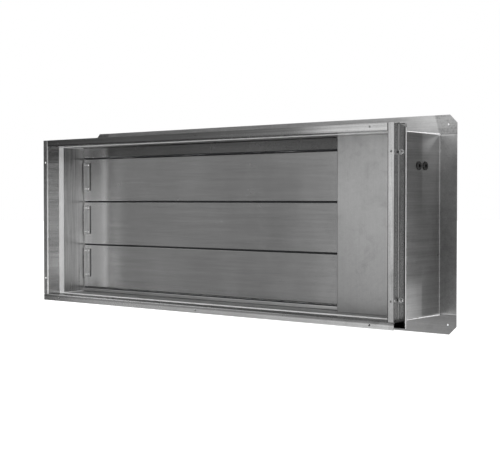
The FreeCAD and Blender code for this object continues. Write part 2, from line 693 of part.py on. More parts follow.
def blade_bushes():
    """Flanged bushes: capped ones in the left wall and open ones in the partition."""
    bore_radius = JOURNAL_RADIUS + RUNNING_CLEARANCE
    bushes = []
    for z in AXIS_Z:
        flange_x = -INNER_X + BUSH_FLANGE
        cap_x = -WALL_X - BUSH_NOSE
        flange = rod(V(-INNER_X, AXIS_Y, z), V(flange_x, AXIS_Y, z), BUSH_FLANGE_RADIUS)
        sleeve = rod(V(cap_x, AXIS_Y, z), V(flange_x, AXIS_Y, z), BUSH_RADIUS)
        bore = rod(V(cap_x + BUSH_CAP, AXIS_Y, z), V(flange_x, AXIS_Y, z), bore_radius)
        bushes.append(cut(join([flange, sleeve]), [bore]))
        flange = rod(V(PARTITION_X - BUSH_FLANGE, AXIS_Y, z), V(PARTITION_X, AXIS_Y, z), BUSH_FLANGE_RADIUS)
        sleeve = rod(V(PARTITION_X - BUSH_FLANGE, AXIS_Y, z), V(BUSH_END_X, AXIS_Y, z), BUSH_RADIUS)
        bore = rod(V(PARTITION_X - BUSH_FLANGE, AXIS_Y, z), V(BUSH_END_X, AXIS_Y, z), bore_radius)
        bushes.append(cut(join([flange, sleeve]), [bore]))
    return bushes


def clip_rivet_places(axis_z):
    """X and Z of the two rivets of a blade's clip and the one through its drive shaft."""
    clip_x = BLADE_LEFT + CLIP_LENGTH - CLIP_SHEET - CLIP_RIVET_INSET
    rise = CLIP_HEIGHT / 2 - CLIP_RIVET_INSET
    shaft_x = BLADE_RIGHT - SHAFT_RIVET_INSET
    return [(clip_x, axis_z - rise), (clip_x, axis_z + rise), (shaft_x, axis_z)]


def blade_rivet_drills(axis_z):
    reach = BLADE_THICKNESS
    return holes_along_y(clip_rivet_places(axis_z), RIVET_RADIUS + HOLE_CLEARANCE,
                         (AXIS_Y - reach, AXIS_Y + reach))


def blade_front_skin(axis_z):
    """Front skin, folded back at its top and bottom edges."""
    lip_y = BLADE_FRONT + BLADE_LIP
    low = axis_z - BLADE_BELOW
    high = axis_z + BLADE_ABOVE
    path = [V(BLADE_LEFT, lip_y, high), V(BLADE_LEFT, BLADE_FRONT, high),
            V(BLADE_LEFT, BLADE_FRONT, low), V(BLADE_LEFT, lip_y, low)]
    skin = folded_sheet(path, BLADE_SKIN, BLADE_BEND, V(BLADE_RIGHT - BLADE_LEFT, 0, 0))
    return cut(skin, blade_rivet_drills(axis_z))


def blade_rear_skin(axis_z):
    return blade_front_skin(axis_z).mirror(V(0, AXIS_Y, 0), V(0, 1, 0))


def blade_core(axis_z):
    """Fire board between the skins, bored for the drive shaft."""
    core = box((BLADE_LEFT, BLADE_RIGHT), (BLADE_FRONT + BLADE_SKIN, BLADE_REAR - BLADE_SKIN),
               (axis_z - BLADE_BELOW + BLADE_SKIN, axis_z + BLADE_ABOVE - BLADE_SKIN))
    core = core.makeFillet(BLADE_BEND, edges_along(core, "x"))
    pocket = rod(V(BLADE_RIGHT - SHAFT_SEAT, AXIS_Y, axis_z), V(BLADE_RIGHT, AXIS_Y, axis_z),
                 JOURNAL_RADIUS + RUNNING_CLEARANCE)
    return cut(core, [pocket] + blade_rivet_drills(axis_z))


def blade_edge_seals(axis_z):
    """Swelling seals in the grooves between the skins' lips, on the blade's top and bottom edges.

    Each has a rib that laps past the next blade's rib: in front on the top edge, behind on the bottom edge.
    """
    front_y = BLADE_FRONT + BLADE_LIP + SEAL_SIDE_GAP
    rear_y = BLADE_REAR - BLADE_LIP - SEAL_SIDE_GAP
    seat_z = BLADE_ABOVE - BLADE_SKIN
    top = sealing_profile(front_y, rear_y, front_y, AXIS_Y - SEAL_RIB_FROM_AXIS, axis_z + seat_z, 1)
    seat_z = BLADE_BELOW - BLADE_SKIN
    bottom = sealing_profile(front_y, rear_y, AXIS_Y + SEAL_RIB_FROM_AXIS, rear_y, axis_z - seat_z, -1)
    return [top, bottom]


def sealing_profile(front_y, rear_y, rib_front_y, rib_rear_y, seat_z, upwards):
    """A strip as long as a blade that stands on seat_z, with a rib on it. Upwards is 1 or -1."""
    base_z = seat_z + upwards * SEAL_THICKNESS
    rib_z = base_z + upwards * SEAL_RIB_RISE
    strip = box((BLADE_LEFT, BLADE_RIGHT), (front_y, rear_y), sorted((seat_z, base_z)))
    rib = box((BLADE_LEFT, BLADE_RIGHT), (rib_front_y, rib_rear_y), sorted((seat_z, rib_z)))
    return join([strip, rib])


def blade_pivot_clip(axis_z):
    """Clip round the blade's left end, with a bead in each leg and the stub axle welded to its web."""
    low = axis_z - CLIP_HEIGHT / 2
    leg_end = BLADE_LEFT + CLIP_LENGTH - CLIP_SHEET
    path = [V(leg_end, BLADE_FRONT, low), V(BLADE_LEFT, BLADE_FRONT, low),
            V(BLADE_LEFT, BLADE_REAR, low), V(leg_end, BLADE_REAR, low)]
    clip = folded_sheet(path, CLIP_SHEET, 0.0, V(0, 0, CLIP_HEIGHT))
    tip_edges = [edge for edge in edges_along(clip, "y") if near(edge.Vertexes[0].X, leg_end)]
    clip = clip.makeFillet(CLIP_CORNER, tip_edges)
    clip = cut(clip, blade_rivet_drills(axis_z))
    bead_half = CLIP_HEIGHT / 2 - 2 * CLIP_RIVET_INSET
    bead_x = BLADE_LEFT + (CLIP_LENGTH - CLIP_SHEET) / 2
    x_span = (bead_x - CLIP_BEAD_WIDTH / 2, bead_x + CLIP_BEAD_WIDTH / 2)
    face_y = BLADE_FRONT - CLIP_SHEET
    bead_y = face_y - CLIP_BEAD_RISE
    bead = box(x_span, (bead_y, face_y), (axis_z - bead_half, axis_z + bead_half))
    bead = bead.makeFillet(CLIP_BEAD_EDGE, rim_at(bead, "y", bead_y))
    axle_end = -WALL_X - BUSH_NOSE + BUSH_CAP + AXLE_END_GAP
    axle = rod(V(axle_end, AXIS_Y, axis_z), V(BLADE_LEFT - CLIP_SHEET, AXIS_Y, axis_z), JOURNAL_RADIUS)
    return join([clip, bead, bead.mirror(V(0, AXIS_Y, 0), V(0, 1, 0)), axle])


def blade_rivets(axis_z):
    """Rivets through the clip's legs and through the drive shaft."""
    clip_low, clip_high, shaft = clip_rivet_places(axis_z)
    front = BLADE_FRONT - CLIP_SHEET
    rear = BLADE_REAR + CLIP_SHEET
    rivets = [rivet(V(x, rear, z), V(x, front, z), 2) for x, z in (clip_low, clip_high)]
    rivets.append(rivet(V(shaft[0], BLADE_REAR, shaft[1]), V(shaft[0], BLADE_FRONT, shaft[1]), 2))
    return rivets


def blade_shaft(axis_z, end_x, peened):
    """Drive shaft: round in the blade and the bush, then square. A peened end holds the lever on."""
    start_x = BLADE_RIGHT - SHAFT_SEAT
    half = SQUARE_WIDTH / 2
    pieces = [rod(V(start_x, AXIS_Y, axis_z), V(LEVER_X, AXIS_Y, axis_z), JOURNAL_RADIUS),
              box((LEVER_X, end_x), (AXIS_Y - half, AXIS_Y + half), (axis_z - half, axis_z + half))]
    if peened:
        pieces.append(rod(V(end_x, AXIS_Y, axis_z), V(end_x + PEENED_HEIGHT, AXIS_Y, axis_z), PEENED_RADIUS))
    return cut(join(pieces), blade_rivet_drills(axis_z))


def square_drill(low_x, high_x, axis_z):
    half = SQUARE_WIDTH / 2 + SQUARE_CLEARANCE
    return box((low_x, high_x), (AXIS_Y - half, AXIS_Y + half), (axis_z - half, axis_z + half))


def lever_tip(axis_z):
    """Y and Z of the lever's pin with the blades shut."""
    angle = math.radians(LEVER_START_ANGLE)
    return AXIS_Y + LEVER_LENGTH * math.cos(angle), axis_z + LEVER_LENGTH * math.sin(angle)


def blade_lever(axis_z):
    """Tapered lever with a long hub on the square end of the shaft."""
    tip_y, tip_z = lever_tip(axis_z)
    arm_end = LEVER_X + LEVER_THICKNESS
    hub = rod(V(LEVER_X, AXIS_Y, axis_z), V(LEVER_X + LEVER_HUB_LENGTH, AXIS_Y, axis_z), LEVER_HUB_RADIUS)
    tip = rod(V(LEVER_X, tip_y, tip_z), V(arm_end, tip_y, tip_z), LEVER_TIP_RADIUS)
    lean = math.asin((LEVER_HUB_RADIUS - LEVER_TIP_RADIUS) / LEVER_LENGTH)
    flank = []
    for side in (1, -1):
        angle = math.radians(LEVER_START_ANGLE) + side * (math.pi / 2 - lean)
        hub_point = V(LEVER_X, AXIS_Y + LEVER_HUB_RADIUS * math.cos(angle),
                      axis_z + LEVER_HUB_RADIUS * math.sin(angle))
        tip_point = V(LEVER_X, tip_y + LEVER_TIP_RADIUS * math.cos(angle),
                      tip_z + LEVER_TIP_RADIUS * math.sin(angle))
        flank.append((hub_point, tip_point))
    arm = prism([flank[0][0], flank[0][1], flank[1][1], flank[1][0]], V(LEVER_THICKNESS, 0, 0))
    drills = [square_drill(LEVER_X - OVERSHOOT, LEVER_X + LEVER_HUB_LENGTH + OVERSHOOT, axis_z),
              rod(V(LEVER_X - OVERSHOOT, tip_y, tip_z), V(arm_end + OVERSHOOT, tip_y, tip_z), PIN_RADIUS)]
    return cut(join([hub, tip, arm]), drills)


def blade_lever_pin(axis_z):
    """Shouldered pin through lever and link bar, with a head at each end."""
    tip_y, tip_z = lever_tip(axis_z)
    shank = rod(V(LEVER_X, tip_y, tip_z), V(PIN_END_X, tip_y, tip_z), PIN_RADIUS)
    back_head = rod(V(LEVER_X - PIN_HEAD_HEIGHT, tip_y, tip_z), V(LEVER_X, tip_y, tip_z), PIN_HEAD_RADIUS)
    head = rod(V(PIN_END_X, tip_y, tip_z), V(PIN_END_X + PIN_HEAD_HEIGHT, tip_y, tip_z), PIN_HEAD_RADIUS)
    return join([shank, back_head, head])


def link_bar():
    """Flat bar with round ends that joins the pins of all levers."""
    tips = [lever_tip(z) for z in AXIS_Z]
    ends = [rod(V(LINK_X, y, z), V(LINK_X + LINK_THICKNESS, y, z), LINK_WIDTH / 2)
            for y, z in (tips[0], tips[-1])]
    middle = box((LINK_X, LINK_X + LINK_THICKNESS), (tips[0][0] - LINK_WIDTH / 2, tips[0][0] + LINK_WIDTH / 2),
                 (tips[0][1], tips[-1][1]))
    x_span = (LINK_X - OVERSHOOT, LINK_X + LINK_THICKNESS + OVERSHOOT)
    return cut(join(ends + [middle]), drills_along_x(tips, PIN_RADIUS + PIN_CLEARANCE, x_span))


def spacer_places():
    """Y and Z of the four spacers that carry the actuator's plate."""
    return [(y, z) for y in (AXIS_Y - SPACER_FRONT, AXIS_Y + SPACER_REAR)
            for z in (ACTUATOR_LOW_Z - SPACER_END_GAP, ACTUATOR_HIGH_Z + SPACER_END_GAP)]


def plate_spacers():
    return [hexagon_bar(V(COMPARTMENT_X, y, z), V(PLATE_X, y, z), SPACER_WIDTH) for y, z in spacer_places()]


def ear_places():
    """Y and Z of the two screws through the actuator's ears."""
    return [(AXIS_Y, ACTUATOR_LOW_Z - EAR_LENGTH / 2), (AXIS_Y, ACTUATOR_HIGH_Z + EAR_LENGTH / 2)]


def drills_along_x(places, radius, x_span):
    return [rod(V(x_span[0], y, z), V(x_span[1], y, z), radius) for y, z in places]


def actuator_plate():
    """Plate on spacers that holds the actuator clear of the levers."""
    places = spacer_places()
    y_span = (min(y for y, z in places) - PLATE_EDGE, max(y for y, z in places) + PLATE_EDGE)
    z_span = (min(z for y, z in places) - PLATE_EDGE, max(z for y, z in places) + PLATE_EDGE)
    plate = rounded_block((PLATE_X, ACTUATOR_X), y_span, z_span, PLATE_CORNER, 0.0)
    x_span = (PLATE_X - OVERSHOOT, ACTUATOR_X + OVERSHOOT)
    drills = drills_along_x(places + ear_places(), SCREW_RADIUS + HOLE_CLEARANCE, x_span)
    drills += drills_along_x([(AXIS_Y, AXIS_Z[DRIVEN])], PLATE_HOLE_RADIUS, x_span)
    return cut(plate, drills)


def output_bore():
    return rod(V(ACTUATOR_X - OVERSHOOT, AXIS_Y, AXIS_Z[DRIVEN]), V(POINTER_X, AXIS_Y, AXIS_Z[DRIVEN]),
               OUTPUT_HUB_RADIUS + OUTPUT_HUB_CLEARANCE)


def actuator_base():
    """Base of the actuator with an ear at each end."""
    half = ACTUATOR_WIDTH / 2
    body = rounded_block((ACTUATOR_X, ACTUATOR_SPLIT_X), (AXIS_Y - half, AXIS_Y + half),
                         (ACTUATOR_LOW_Z, ACTUATOR_HIGH_Z), ACTUATOR_CORNER, 0.0)
    ears = rounded_block((ACTUATOR_X, ACTUATOR_X + EAR_THICKNESS),
                         (AXIS_Y - EAR_WIDTH / 2, AXIS_Y + EAR_WIDTH / 2),
                         (ACTUATOR_LOW_Z - EAR_LENGTH, ACTUATOR_HIGH_Z + EAR_LENGTH), EAR_CORNER, 0.0)
    drills = drills_along_x(ear_places(), SCREW_RADIUS + HOLE_CLEARANCE,
                            (ACTUATOR_X - OVERSHOOT, ACTUATOR_X + EAR_THICKNESS + OVERSHOOT))
    return cut(join([body, ears]), drills + [output_bore()])


def actuator_cover():
    """Cover with a collar round the output hub, cooling ribs and a bore for the winding socket."""
    half = ACTUATOR_WIDTH / 2 - COVER_INSET
    axis_z = AXIS_Z[DRIVEN]
    body = rounded_block((ACTUATOR_SPLIT_X, ACTUATOR_END_X), (AXIS_Y - half, AXIS_Y + half),
                         (ACTUATOR_LOW_Z + COVER_INSET, ACTUATOR_HIGH_Z - COVER_INSET),
                         ACTUATOR_CORNER - COVER_INSET, ACTUATOR_EDGE)
    collar = rod(V(ACTUATOR_END_X, AXIS_Y, axis_z), V(ACTUATOR_END_X + COLLAR_RISE, AXIS_Y, axis_z),
                 OUTPUT_HUB_RADIUS + COLLAR_WIDTH)
    winding_z = axis_z + WINDING_ABOVE_HUB
    winding = rod(V(ACTUATOR_END_X - WINDING_DEPTH - OUTPUT_HUB_CLEARANCE, AXIS_Y, winding_z),
                  V(ACTUATOR_END_X + OVERSHOOT, AXIS_Y, winding_z), WINDING_RADIUS + OUTPUT_HUB_CLEARANCE)
    first_z = (axis_z + OUTPUT_HUB_RADIUS + winding_z - COVER_RIB_PITCH * (COVER_RIB_COUNT - 1)) / 2
    grooves = []
    for index in range(COVER_RIB_COUNT):
        z = first_z + index * COVER_RIB_PITCH
        grooves.append(box((ACTUATOR_END_X - COVER_RIB_DEPTH, ACTUATOR_END_X + OVERSHOOT),
                           (AXIS_Y - COVER_RIB_LENGTH / 2, AXIS_Y + COVER_RIB_LENGTH / 2),
                           (z - COVER_RIB_WIDTH / 2, z + COVER_RIB_WIDTH / 2)))
    return cut(join([body, collar]), grooves + [output_bore(), winding])


def output_hub():
    """Hub that clamps the middle shaft, with the position pointer on its outer end."""
    axis_z = AXIS_Z[DRIVEN]
    barrel = rod(V(PLATE_X, AXIS_Y, axis_z), V(POINTER_X, AXIS_Y, axis_z), OUTPUT_HUB_RADIUS)
    disc = rod(V(POINTER_X, AXIS_Y, axis_z), V(HUB_END_X, AXIS_Y, axis_z), POINTER_RADIUS)
    nib = prism([V(POINTER_X, AXIS_Y - POINTER_RADIUS / 2, axis_z - POINTER_RADIUS / 2),
                 V(POINTER_X, AXIS_Y + POINTER_RADIUS / 2, axis_z - POINTER_RADIUS / 2),
                 V(POINTER_X, AXIS_Y, axis_z - POINTER_REACH)], V(POINTER_THICKNESS, 0, 0))
    return cut(join([barrel, disc, nib]), [square_drill(PLATE_X - OVERSHOOT, HUB_END_X + OVERSHOOT, axis_z)])


def winding_socket():
    """Round socket for the crank key that winds the spring by hand."""
    winding_z = AXIS_Z[DRIVEN] + WINDING_ABOVE_HUB
    low_x = ACTUATOR_END_X - WINDING_DEPTH
    socket = rod(V(low_x, AXIS_Y, winding_z), V(ACTUATOR_END_X, AXIS_Y, winding_z), WINDING_RADIUS)
    hexagon = hexagon_bar(V(ACTUATOR_END_X - WINDING_HEX_DEPTH, AXIS_Y, winding_z),
                          V(ACTUATOR_END_X + OVERSHOOT, AXIS_Y, winding_z), WINDING_HEX_WIDTH)
    return cut(socket, [hexagon])


def actuator_cable_glands():
    """Two glands at the top end of the actuator's base."""
    x = ACTUATOR_X + ACTUATOR_BASE_DEPTH / 2
    top = ACTUATOR_HIGH_Z + GLAND_LENGTH
    glands = []
    for y in (AXIS_Y - GLAND_SPACING, AXIS_Y + GLAND_SPACING):
        body = rod(V(x, y, ACTUATOR_HIGH_Z), V(x, y, top), GLAND_RADIUS)
        body = body.makeFillet(GLAND_EDGE, rim_at(body, "z", top))
        bore = rod(V(x, y, top - GLAND_BORE_DEPTH), V(x, y, top + OVERSHOOT), GLAND_BORE_RADIUS)
        glands.append(cut(body, [bore]))
    return glands


def sensor_ear_places():
    """Y and Z of the two screws that hold the trip sensor to the partition."""
    reach = (SENSOR_WIDTH + SENSOR_EAR) / 2
    return [(SENSOR_Y - reach, SENSOR_Z), (SENSOR_Y + reach, SENSOR_Z)]


def trip_sensor_housing():
    """Housing on the partition with an ear at each side and a well for the test button."""
    y_span = (SENSOR_Y - SENSOR_WIDTH / 2, SENSOR_Y + SENSOR_WIDTH / 2)
    z_span = (SENSOR_Z - SENSOR_HEIGHT / 2, SENSOR_Z + SENSOR_HEIGHT / 2)
    body = rounded_block((COMPARTMENT_X, SENSOR_X), y_span, z_span, SENSOR_CORNER, SENSOR_EDGE)
    ears = rounded_block((COMPARTMENT_X, COMPARTMENT_X + SENSOR_EAR_THICKNESS),
                         (y_span[0] - SENSOR_EAR, y_span[1] + SENSOR_EAR),
                         (SENSOR_Z - SENSOR_EAR, SENSOR_Z + SENSOR_EAR), SENSOR_EAR_CORNER, 0.0)
    rim_x = SENSOR_X + BUTTON_RIM_RISE
    rim = rod(V(SENSOR_X, SENSOR_Y, SENSOR_Z), V(rim_x, SENSOR_Y, SENSOR_Z), BUTTON_RIM_RADIUS)
    well_x = SENSOR_X - BUTTON_SINK - BUTTON_TRAVEL - BUTTON_CLEARANCE
    well = rod(V(well_x, SENSOR_Y, SENSOR_Z), V(rim_x + OVERSHOOT, SENSOR_Y, SENSOR_Z),
               BUTTON_RADIUS + BUTTON_CLEARANCE)
    drills = drills_along_x(sensor_ear_places(), SCREW_RADIUS + HOLE_CLEARANCE,
                            (COMPARTMENT_X - OVERSHOOT, COMPARTMENT_X + SENSOR_EAR_THICKNESS + OVERSHOOT))
    return cut(join([body, ears, rim]), drills + [well])


def trip_sensor_probe():
    """Stem through the partition with a nut and a thin round-ended probe in the passage."""
    nut_x = PARTITION_X - STEM_NUT_HEIGHT
    tip_x = PARTITION_X - PROBE_REACH
    stem = rod(V(nut_x, SENSOR_Y, SENSOR_Z), V(COMPARTMENT_X, SENSOR_Y, SENSOR_Z), STEM_RADIUS)
    nut = hexagon_bar(V(nut_x, SENSOR_Y, SENSOR_Z), V(PARTITION_X, SENSOR_Y, SENSOR_Z), STEM_NUT_WIDTH)
    probe = rod(V(tip_x, SENSOR_Y, SENSOR_Z), V(nut_x, SENSOR_Y, SENSOR_Z), PROBE_RADIUS)
    tip = Part.makeSphere(PROBE_RADIUS, V(tip_x, SENSOR_Y, SENSOR_Z))
    return join([stem, nut, probe, tip])


def trip_sensor_button():
    low = V(SENSOR_X - BUTTON_SINK, SENSOR_Y, SENSOR_Z)
    high = V(SENSOR_X + BUTTON_PROUD, SENSOR_Y, SENSOR_Z)
    button = rod(low, high, BUTTON_RADIUS)
    return button.makeFillet(BUTTON_EDGE, rim_at(button, "x", high.x))


def compartment_screws():
    """Screws of the actuator's plate, the actuator's ears and the trip sensor."""
    outwards = V(1, 0, 0)
    screws = [pan_screw(V(ACTUATOR_X, y, z), outwards, PLATE_SHEET) for y, z in spacer_places()]
    screws += [pan_screw(V(ACTUATOR_X + EAR_THICKNESS, y, z), outwards, EAR_THICKNESS + PLATE_SHEET)
               for y, z in ear_places()]
    screws += [pan_screw(V(COMPARTMENT_X + SENSOR_EAR_THICKNESS, y, z), outwards, SENSOR_EAR_THICKNESS)
               for y, z in sensor_ear_places()]
    return screws


def save(name, shape):
    """Write one piece, or a group of like pieces, to its own file."""
    if isinstance(shape, list):
        shape = Part.makeCompound([solid for piece in shape for solid in piece.Solids])
    else:
        shape = Part.makeCompound(shape.Solids) if len(shape.Solids) > 1 else shape.Solids[0]
    shape.exportStep(os.path.join("parts", name + ".step"))


def casing_pieces():
    """Name and shape of every fixed piece of the casing and of the compartment's walls."""
    top_stop = blade_stop(TOP_STOP_HEIGHT, stop_drills())
    bottom_stop = mirrored_z(blade_stop(BOTTOM_STOP_HEIGHT, stop_drills()))
    return {
        "casing_top_panel": casing_top_panel(),
        "casing_bottom_panel": mirrored_z(casing_top_panel()),
        "casing_left_panel": casing_left_panel(),
        "casing_right_panel": casing_right_panel(),
        "front_frame_top": front_frame_top(),
        "front_frame_bottom": front_frame_bottom(),
        "front_frame_left": mirrored_x(front_frame_right()),
        "front_frame_right": front_frame_right(),
        "joint_seal_strips": joint_seal_strips(),
        "frame_bolts": frame_bolts(),
        "frame_nuts": frame_nuts(),
        "top_blade_stop": top_stop,
        "bottom_blade_stop": bottom_stop,
        "stop_rivets": stop_rivets(),
        "compartment_partition": compartment_partition(),
        "compartment_front_cover": compartment_front_cover(),
        "compartment_rear_cover": compartment_rear_cover(),
        "cover_angles": cover_angles(),
        "cover_screws": cover_screws(),
        "cable_grommets": cable_grommets(),
        "blade_bushes": blade_bushes(),
    }


def drive_pieces():
    """Name and shape of every piece of the drive that isn't on a blade of its own."""
    return {
        "link_bar": link_bar(),
        "plate_spacers": plate_spacers(),
        "actuator_plate": actuator_plate(),
        "actuator_base": actuator_base(),
        "actuator_cover": actuator_cover(),
        "actuator_output_hub": output_hub(),
        "actuator_winding_socket": winding_socket(),
        "actuator_cable_glands": actuator_cable_glands(),
        "trip_sensor_housing": trip_sensor_housing(),
        "trip_sensor_probe": trip_sensor_probe(),
        "trip_sensor_button": trip_sensor_button(),
        "compartment_screws": compartment_screws(),
    }


def blade_pieces(name, axis_z, driven):
    """Name and shape of every piece that turns with one blade; the driven shaft reaches the pointer."""
    shaft_end = HUB_END_X if driven else LEVER_X + LEVER_HUB_LENGTH
    return {
        name + "_front_skin": blade_front_skin(axis_z),
        name + "_rear_skin": blade_rear_skin(axis_z),
        name + "_core": blade_core(axis_z),
        name + "_edge_seals": blade_edge_seals(axis_z),
        name + "_pivot_clip": blade_pivot_clip(axis_z),
        name + "_rivets": blade_rivets(axis_z),
        name + "_shaft": blade_shaft(axis_z, shaft_end, not driven),
        name + "_lever": blade_lever(axis_z),
        name + "_lever_pin": blade_lever_pin(axis_z),
    }


def main():
    os.makedirs("parts", exist_ok=True)
    pieces = casing_pieces()
    pieces.update(drive_pieces())
    for index, name in enumerate(BLADE_NAMES):
        pieces.update(blade_pieces(name, AXIS_Z[index], index == DRIVEN))
    for name, shape in pieces.items():
        save(name, shape)


main()
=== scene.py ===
import json
import math

import bmesh
import bpy
from mathutils import Matrix, Vector, noise


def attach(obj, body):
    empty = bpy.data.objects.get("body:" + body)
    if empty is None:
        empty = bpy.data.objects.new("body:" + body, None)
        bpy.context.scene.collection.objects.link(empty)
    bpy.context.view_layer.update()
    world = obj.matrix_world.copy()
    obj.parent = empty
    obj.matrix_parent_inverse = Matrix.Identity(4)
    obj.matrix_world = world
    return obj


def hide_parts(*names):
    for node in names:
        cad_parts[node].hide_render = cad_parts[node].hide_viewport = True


# Looks of a fire damper: finishes for the sheet metal pieces, detailed fasteners, seams and the
# studio. Objects are in metres. +X runs along the blades towards the drive, +Y into the wall and
# +Z up. Places and sizes on the damper are written in millimetres, and MM turns them into metres.
# Lengths among the settings are in metres, as Blender shows them.

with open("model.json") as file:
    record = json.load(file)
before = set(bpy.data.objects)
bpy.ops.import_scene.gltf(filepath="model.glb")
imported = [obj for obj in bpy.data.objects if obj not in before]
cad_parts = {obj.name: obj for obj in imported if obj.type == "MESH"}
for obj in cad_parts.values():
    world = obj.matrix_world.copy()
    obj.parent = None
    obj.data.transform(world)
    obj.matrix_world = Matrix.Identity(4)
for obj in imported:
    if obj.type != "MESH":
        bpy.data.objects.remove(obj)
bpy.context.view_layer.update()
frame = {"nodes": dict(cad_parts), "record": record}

bl_info = {
    "name": "Fire damper",
    "version": (1, 0, 0),
    "blender": (4, 5, 0),
    "location": "3D View > Sidebar > Damper",
    "description": "Finishes and fine pieces of a fire damper with a sheet casing and three blades",
    "category": "Object",
}

SLOT_OF = {part["node"]: part["material_slot"] for part in frame["record"]["subparts"]}
MM = 0.001
X, Y, Z = range(3)
TO_DRIVE = (1.0, 0.0, 0.0)
BACKWARD = (0.0, 1.0, 0.0)
FORWARD = (0.0, -1.0, 0.0)
UPWARD = (0.0, 0.0, 1.0)
WHITE = (1.0, 1.0, 1.0)
BLACK = (0.0, 0.0, 0.0)
SIGNS = (-1.0, 1.0)


def corner(node, pick):
    """The lowest corner of a CAD node's box with min, the highest with max, in millimetres."""
    box = frame["nodes"][node].bound_box
    return [round(pick(point[axis] for point in box) / MM, 4) for axis in (X, Y, Z)]


def middle(node):
    """The middle of a CAD node's box, in millimetres."""
    return [(low + high) / 2 for low, high in zip(corner(node, min), corner(node, max))]


# Places from the frame: the passage's walls, the joint of frame and casing, blades and stops
SHEET = 1.5
INSIDE_X, INSIDE_Z = corner("casing_right_panel", min)[X], corner("casing_top_panel", min)[Z]
OUTSIDE_X, OUTSIDE_Z = INSIDE_X + SHEET, INSIDE_Z + SHEET
FRAME_X, FRAME_Z = corner("front_frame_bottom", max)[X], corner("front_frame_top", max)[Z]
FRAME_FACE, JOINT_PLANE = corner("front_frame_top", min)[Y], corner("casing_top_panel", min)[Y]
FLANGE_TOP = corner("casing_top_panel", max)[Z]
STRIP_REAR = corner("joint_seal_strips", max)[Y]
COVER_FACE = corner("compartment_front_cover", min)[Y]
BLADES = ("lower_blade", "middle_blade", "upper_blade")
BLADE_PLANE = middle("middle_blade_rivets")[Y]
BLADE_HEIGHTS = [middle(f"{blade}_rivets")[Z] for blade in BLADES]
BLADE_END = corner("middle_blade_front_skin", max)[X]
CLIP_SHEET = 2.0
CLIP_FACE = corner("middle_blade_front_skin", min)[Y] - CLIP_SHEET
CLIP_END = corner("middle_blade_pivot_clip", max)[X]
STOP_FACE, STOP_END = corner("top_blade_stop", min)[Y], corner("top_blade_stop", max)[X]
TOP_STOP, BOTTOM_STOP = corner("top_blade_stop", min)[Z], corner("bottom_blade_stop", max)[Z]

# Bolts that join the frame to the casing: places (x, z) and sizes
BOLT_OUT, BOLT_FROM_CORNER = 9.0, 43.5
BOLTS = ([(x * (INSIDE_X + BOLT_OUT), z * (INSIDE_Z - BOLT_FROM_CORNER))
          for x in SIGNS for z in SIGNS]
         + [(x * (INSIDE_X - BOLT_FROM_CORNER), z * (INSIDE_Z + BOLT_OUT))
            for x in (-1.0, 0.0, 1.0) for z in SIGNS])
HEAD_SEAT, NUT_SEAT = JOINT_PLANE - SHEET, JOINT_PLANE + SHEET
ACROSS_FLATS = 10.0
HEAD_HEIGHT, NUT_HEIGHT = 4.0, 5.0
HEXAGON_CHAMFER = 0.6
BOLT_RADIUS, THREAD_ROOT = 3.0, 2.6
THREAD_START, HALF_PITCH, THREAD_LINES = 4.0, 0.5, 13
BOLT_END = [(2.6, 10.4), (2.0, 11.0), (0.0, 11.0)]

# Blind rivets: those of the stops, and those of a blade as (x, height over its axis, shank)
RIVET_RADIUS = 2.0
RIVET_HEAD = [(4.0, 0.0), (3.6, 0.8), (2.6, 1.4), (1.6, 1.6), (1.3, 1.2), (1.1, 0.7), (0.9, 0.7),
              (0.8, 1.0), (0.0, 1.05)]
STOP_RIVET_COUNT = 5
STOP_RIVET_START, STOP_RIVET_PITCH = 60.0 - INSIDE_X, 190.0
STOP_RIVET_ROWS = (BLADE_PLANE - 7.25, BLADE_PLANE + 7.25)
STOP_RIVET_SEAT, STOP_RIVET_SHANK = INSIDE_Z - SHEET, 3.0
CLIP_RIVET_X, CLIP_RIVET_REACH = 20.5 - INSIDE_X, 33.0
BLADE_RIVETS = ((CLIP_RIVET_X, CLIP_RIVET_REACH, 14.5), (CLIP_RIVET_X, -CLIP_RIVET_REACH, 14.5),
                (BLADE_END - 8.0, 0.0, 12.5))

# Sections of the beads as (side, rise)
FILLET = [(0.0, 0.0), (2.2, 0.0), (1.2, 0.45), (0.45, 1.2), (0.0, 2.2)]
CROWN = [(-0.8, 0.0), (0.8, 0.0), (0.65, 0.5), (0.25, 0.75), (-0.25, 0.75), (-0.65, 0.5)]
THIN_CROWN = [(side * 0.45, rise * 0.6) for side, rise in CROWN]
WIDE_CROWN = [(side * 1.4, rise) for side, rise in CROWN]
ROUND = [(math.cos(turn * math.tau / 8), math.sin(turn * math.tau / 8)) for turn in range(8)]

# Where the beads lie
MASTIC_REARS = ((-1.0, CLIP_FACE - 0.5), (1.0, COVER_FACE - 3.0))
COMPOUND_FACE, GASKET_FACE = JOINT_PLANE - 1.2, JOINT_PLANE
COMPOUND_X, COMPOUND_Z, GASKET_X = FRAME_X - 0.25, FRAME_Z - 0.3, FRAME_X + 1.65
JOINT_BOTTOM, JOINT_TOP, JOINT_HALF_WIDTH = 4.5 - FRAME_Z, FRAME_Z - 8.5, FRAME_X - 1.25
CORNER_FRONT, CORNER_REAR = JOINT_PLANE + 3.0, -2.0
STOP_EDGES = (TOP_STOP - 0.3, BOTTOM_STOP + 0.15)
STOP_EDGE_PLANE, STOP_EDGE_START, STOP_EDGE_END = STOP_FACE + 1.2, 0.75 - INSIDE_X, STOP_END - 0.65
CLIP_REACH = 40.5
PASTE_X, PASTE_START, MASTIC_X = 1.85 - INSIDE_X, 26.0, 3.25 - INSIDE_X
END_MASTIC_START, END_MASTIC_END = 5.75 - INSIDE_X, 15.25 - INSIDE_X

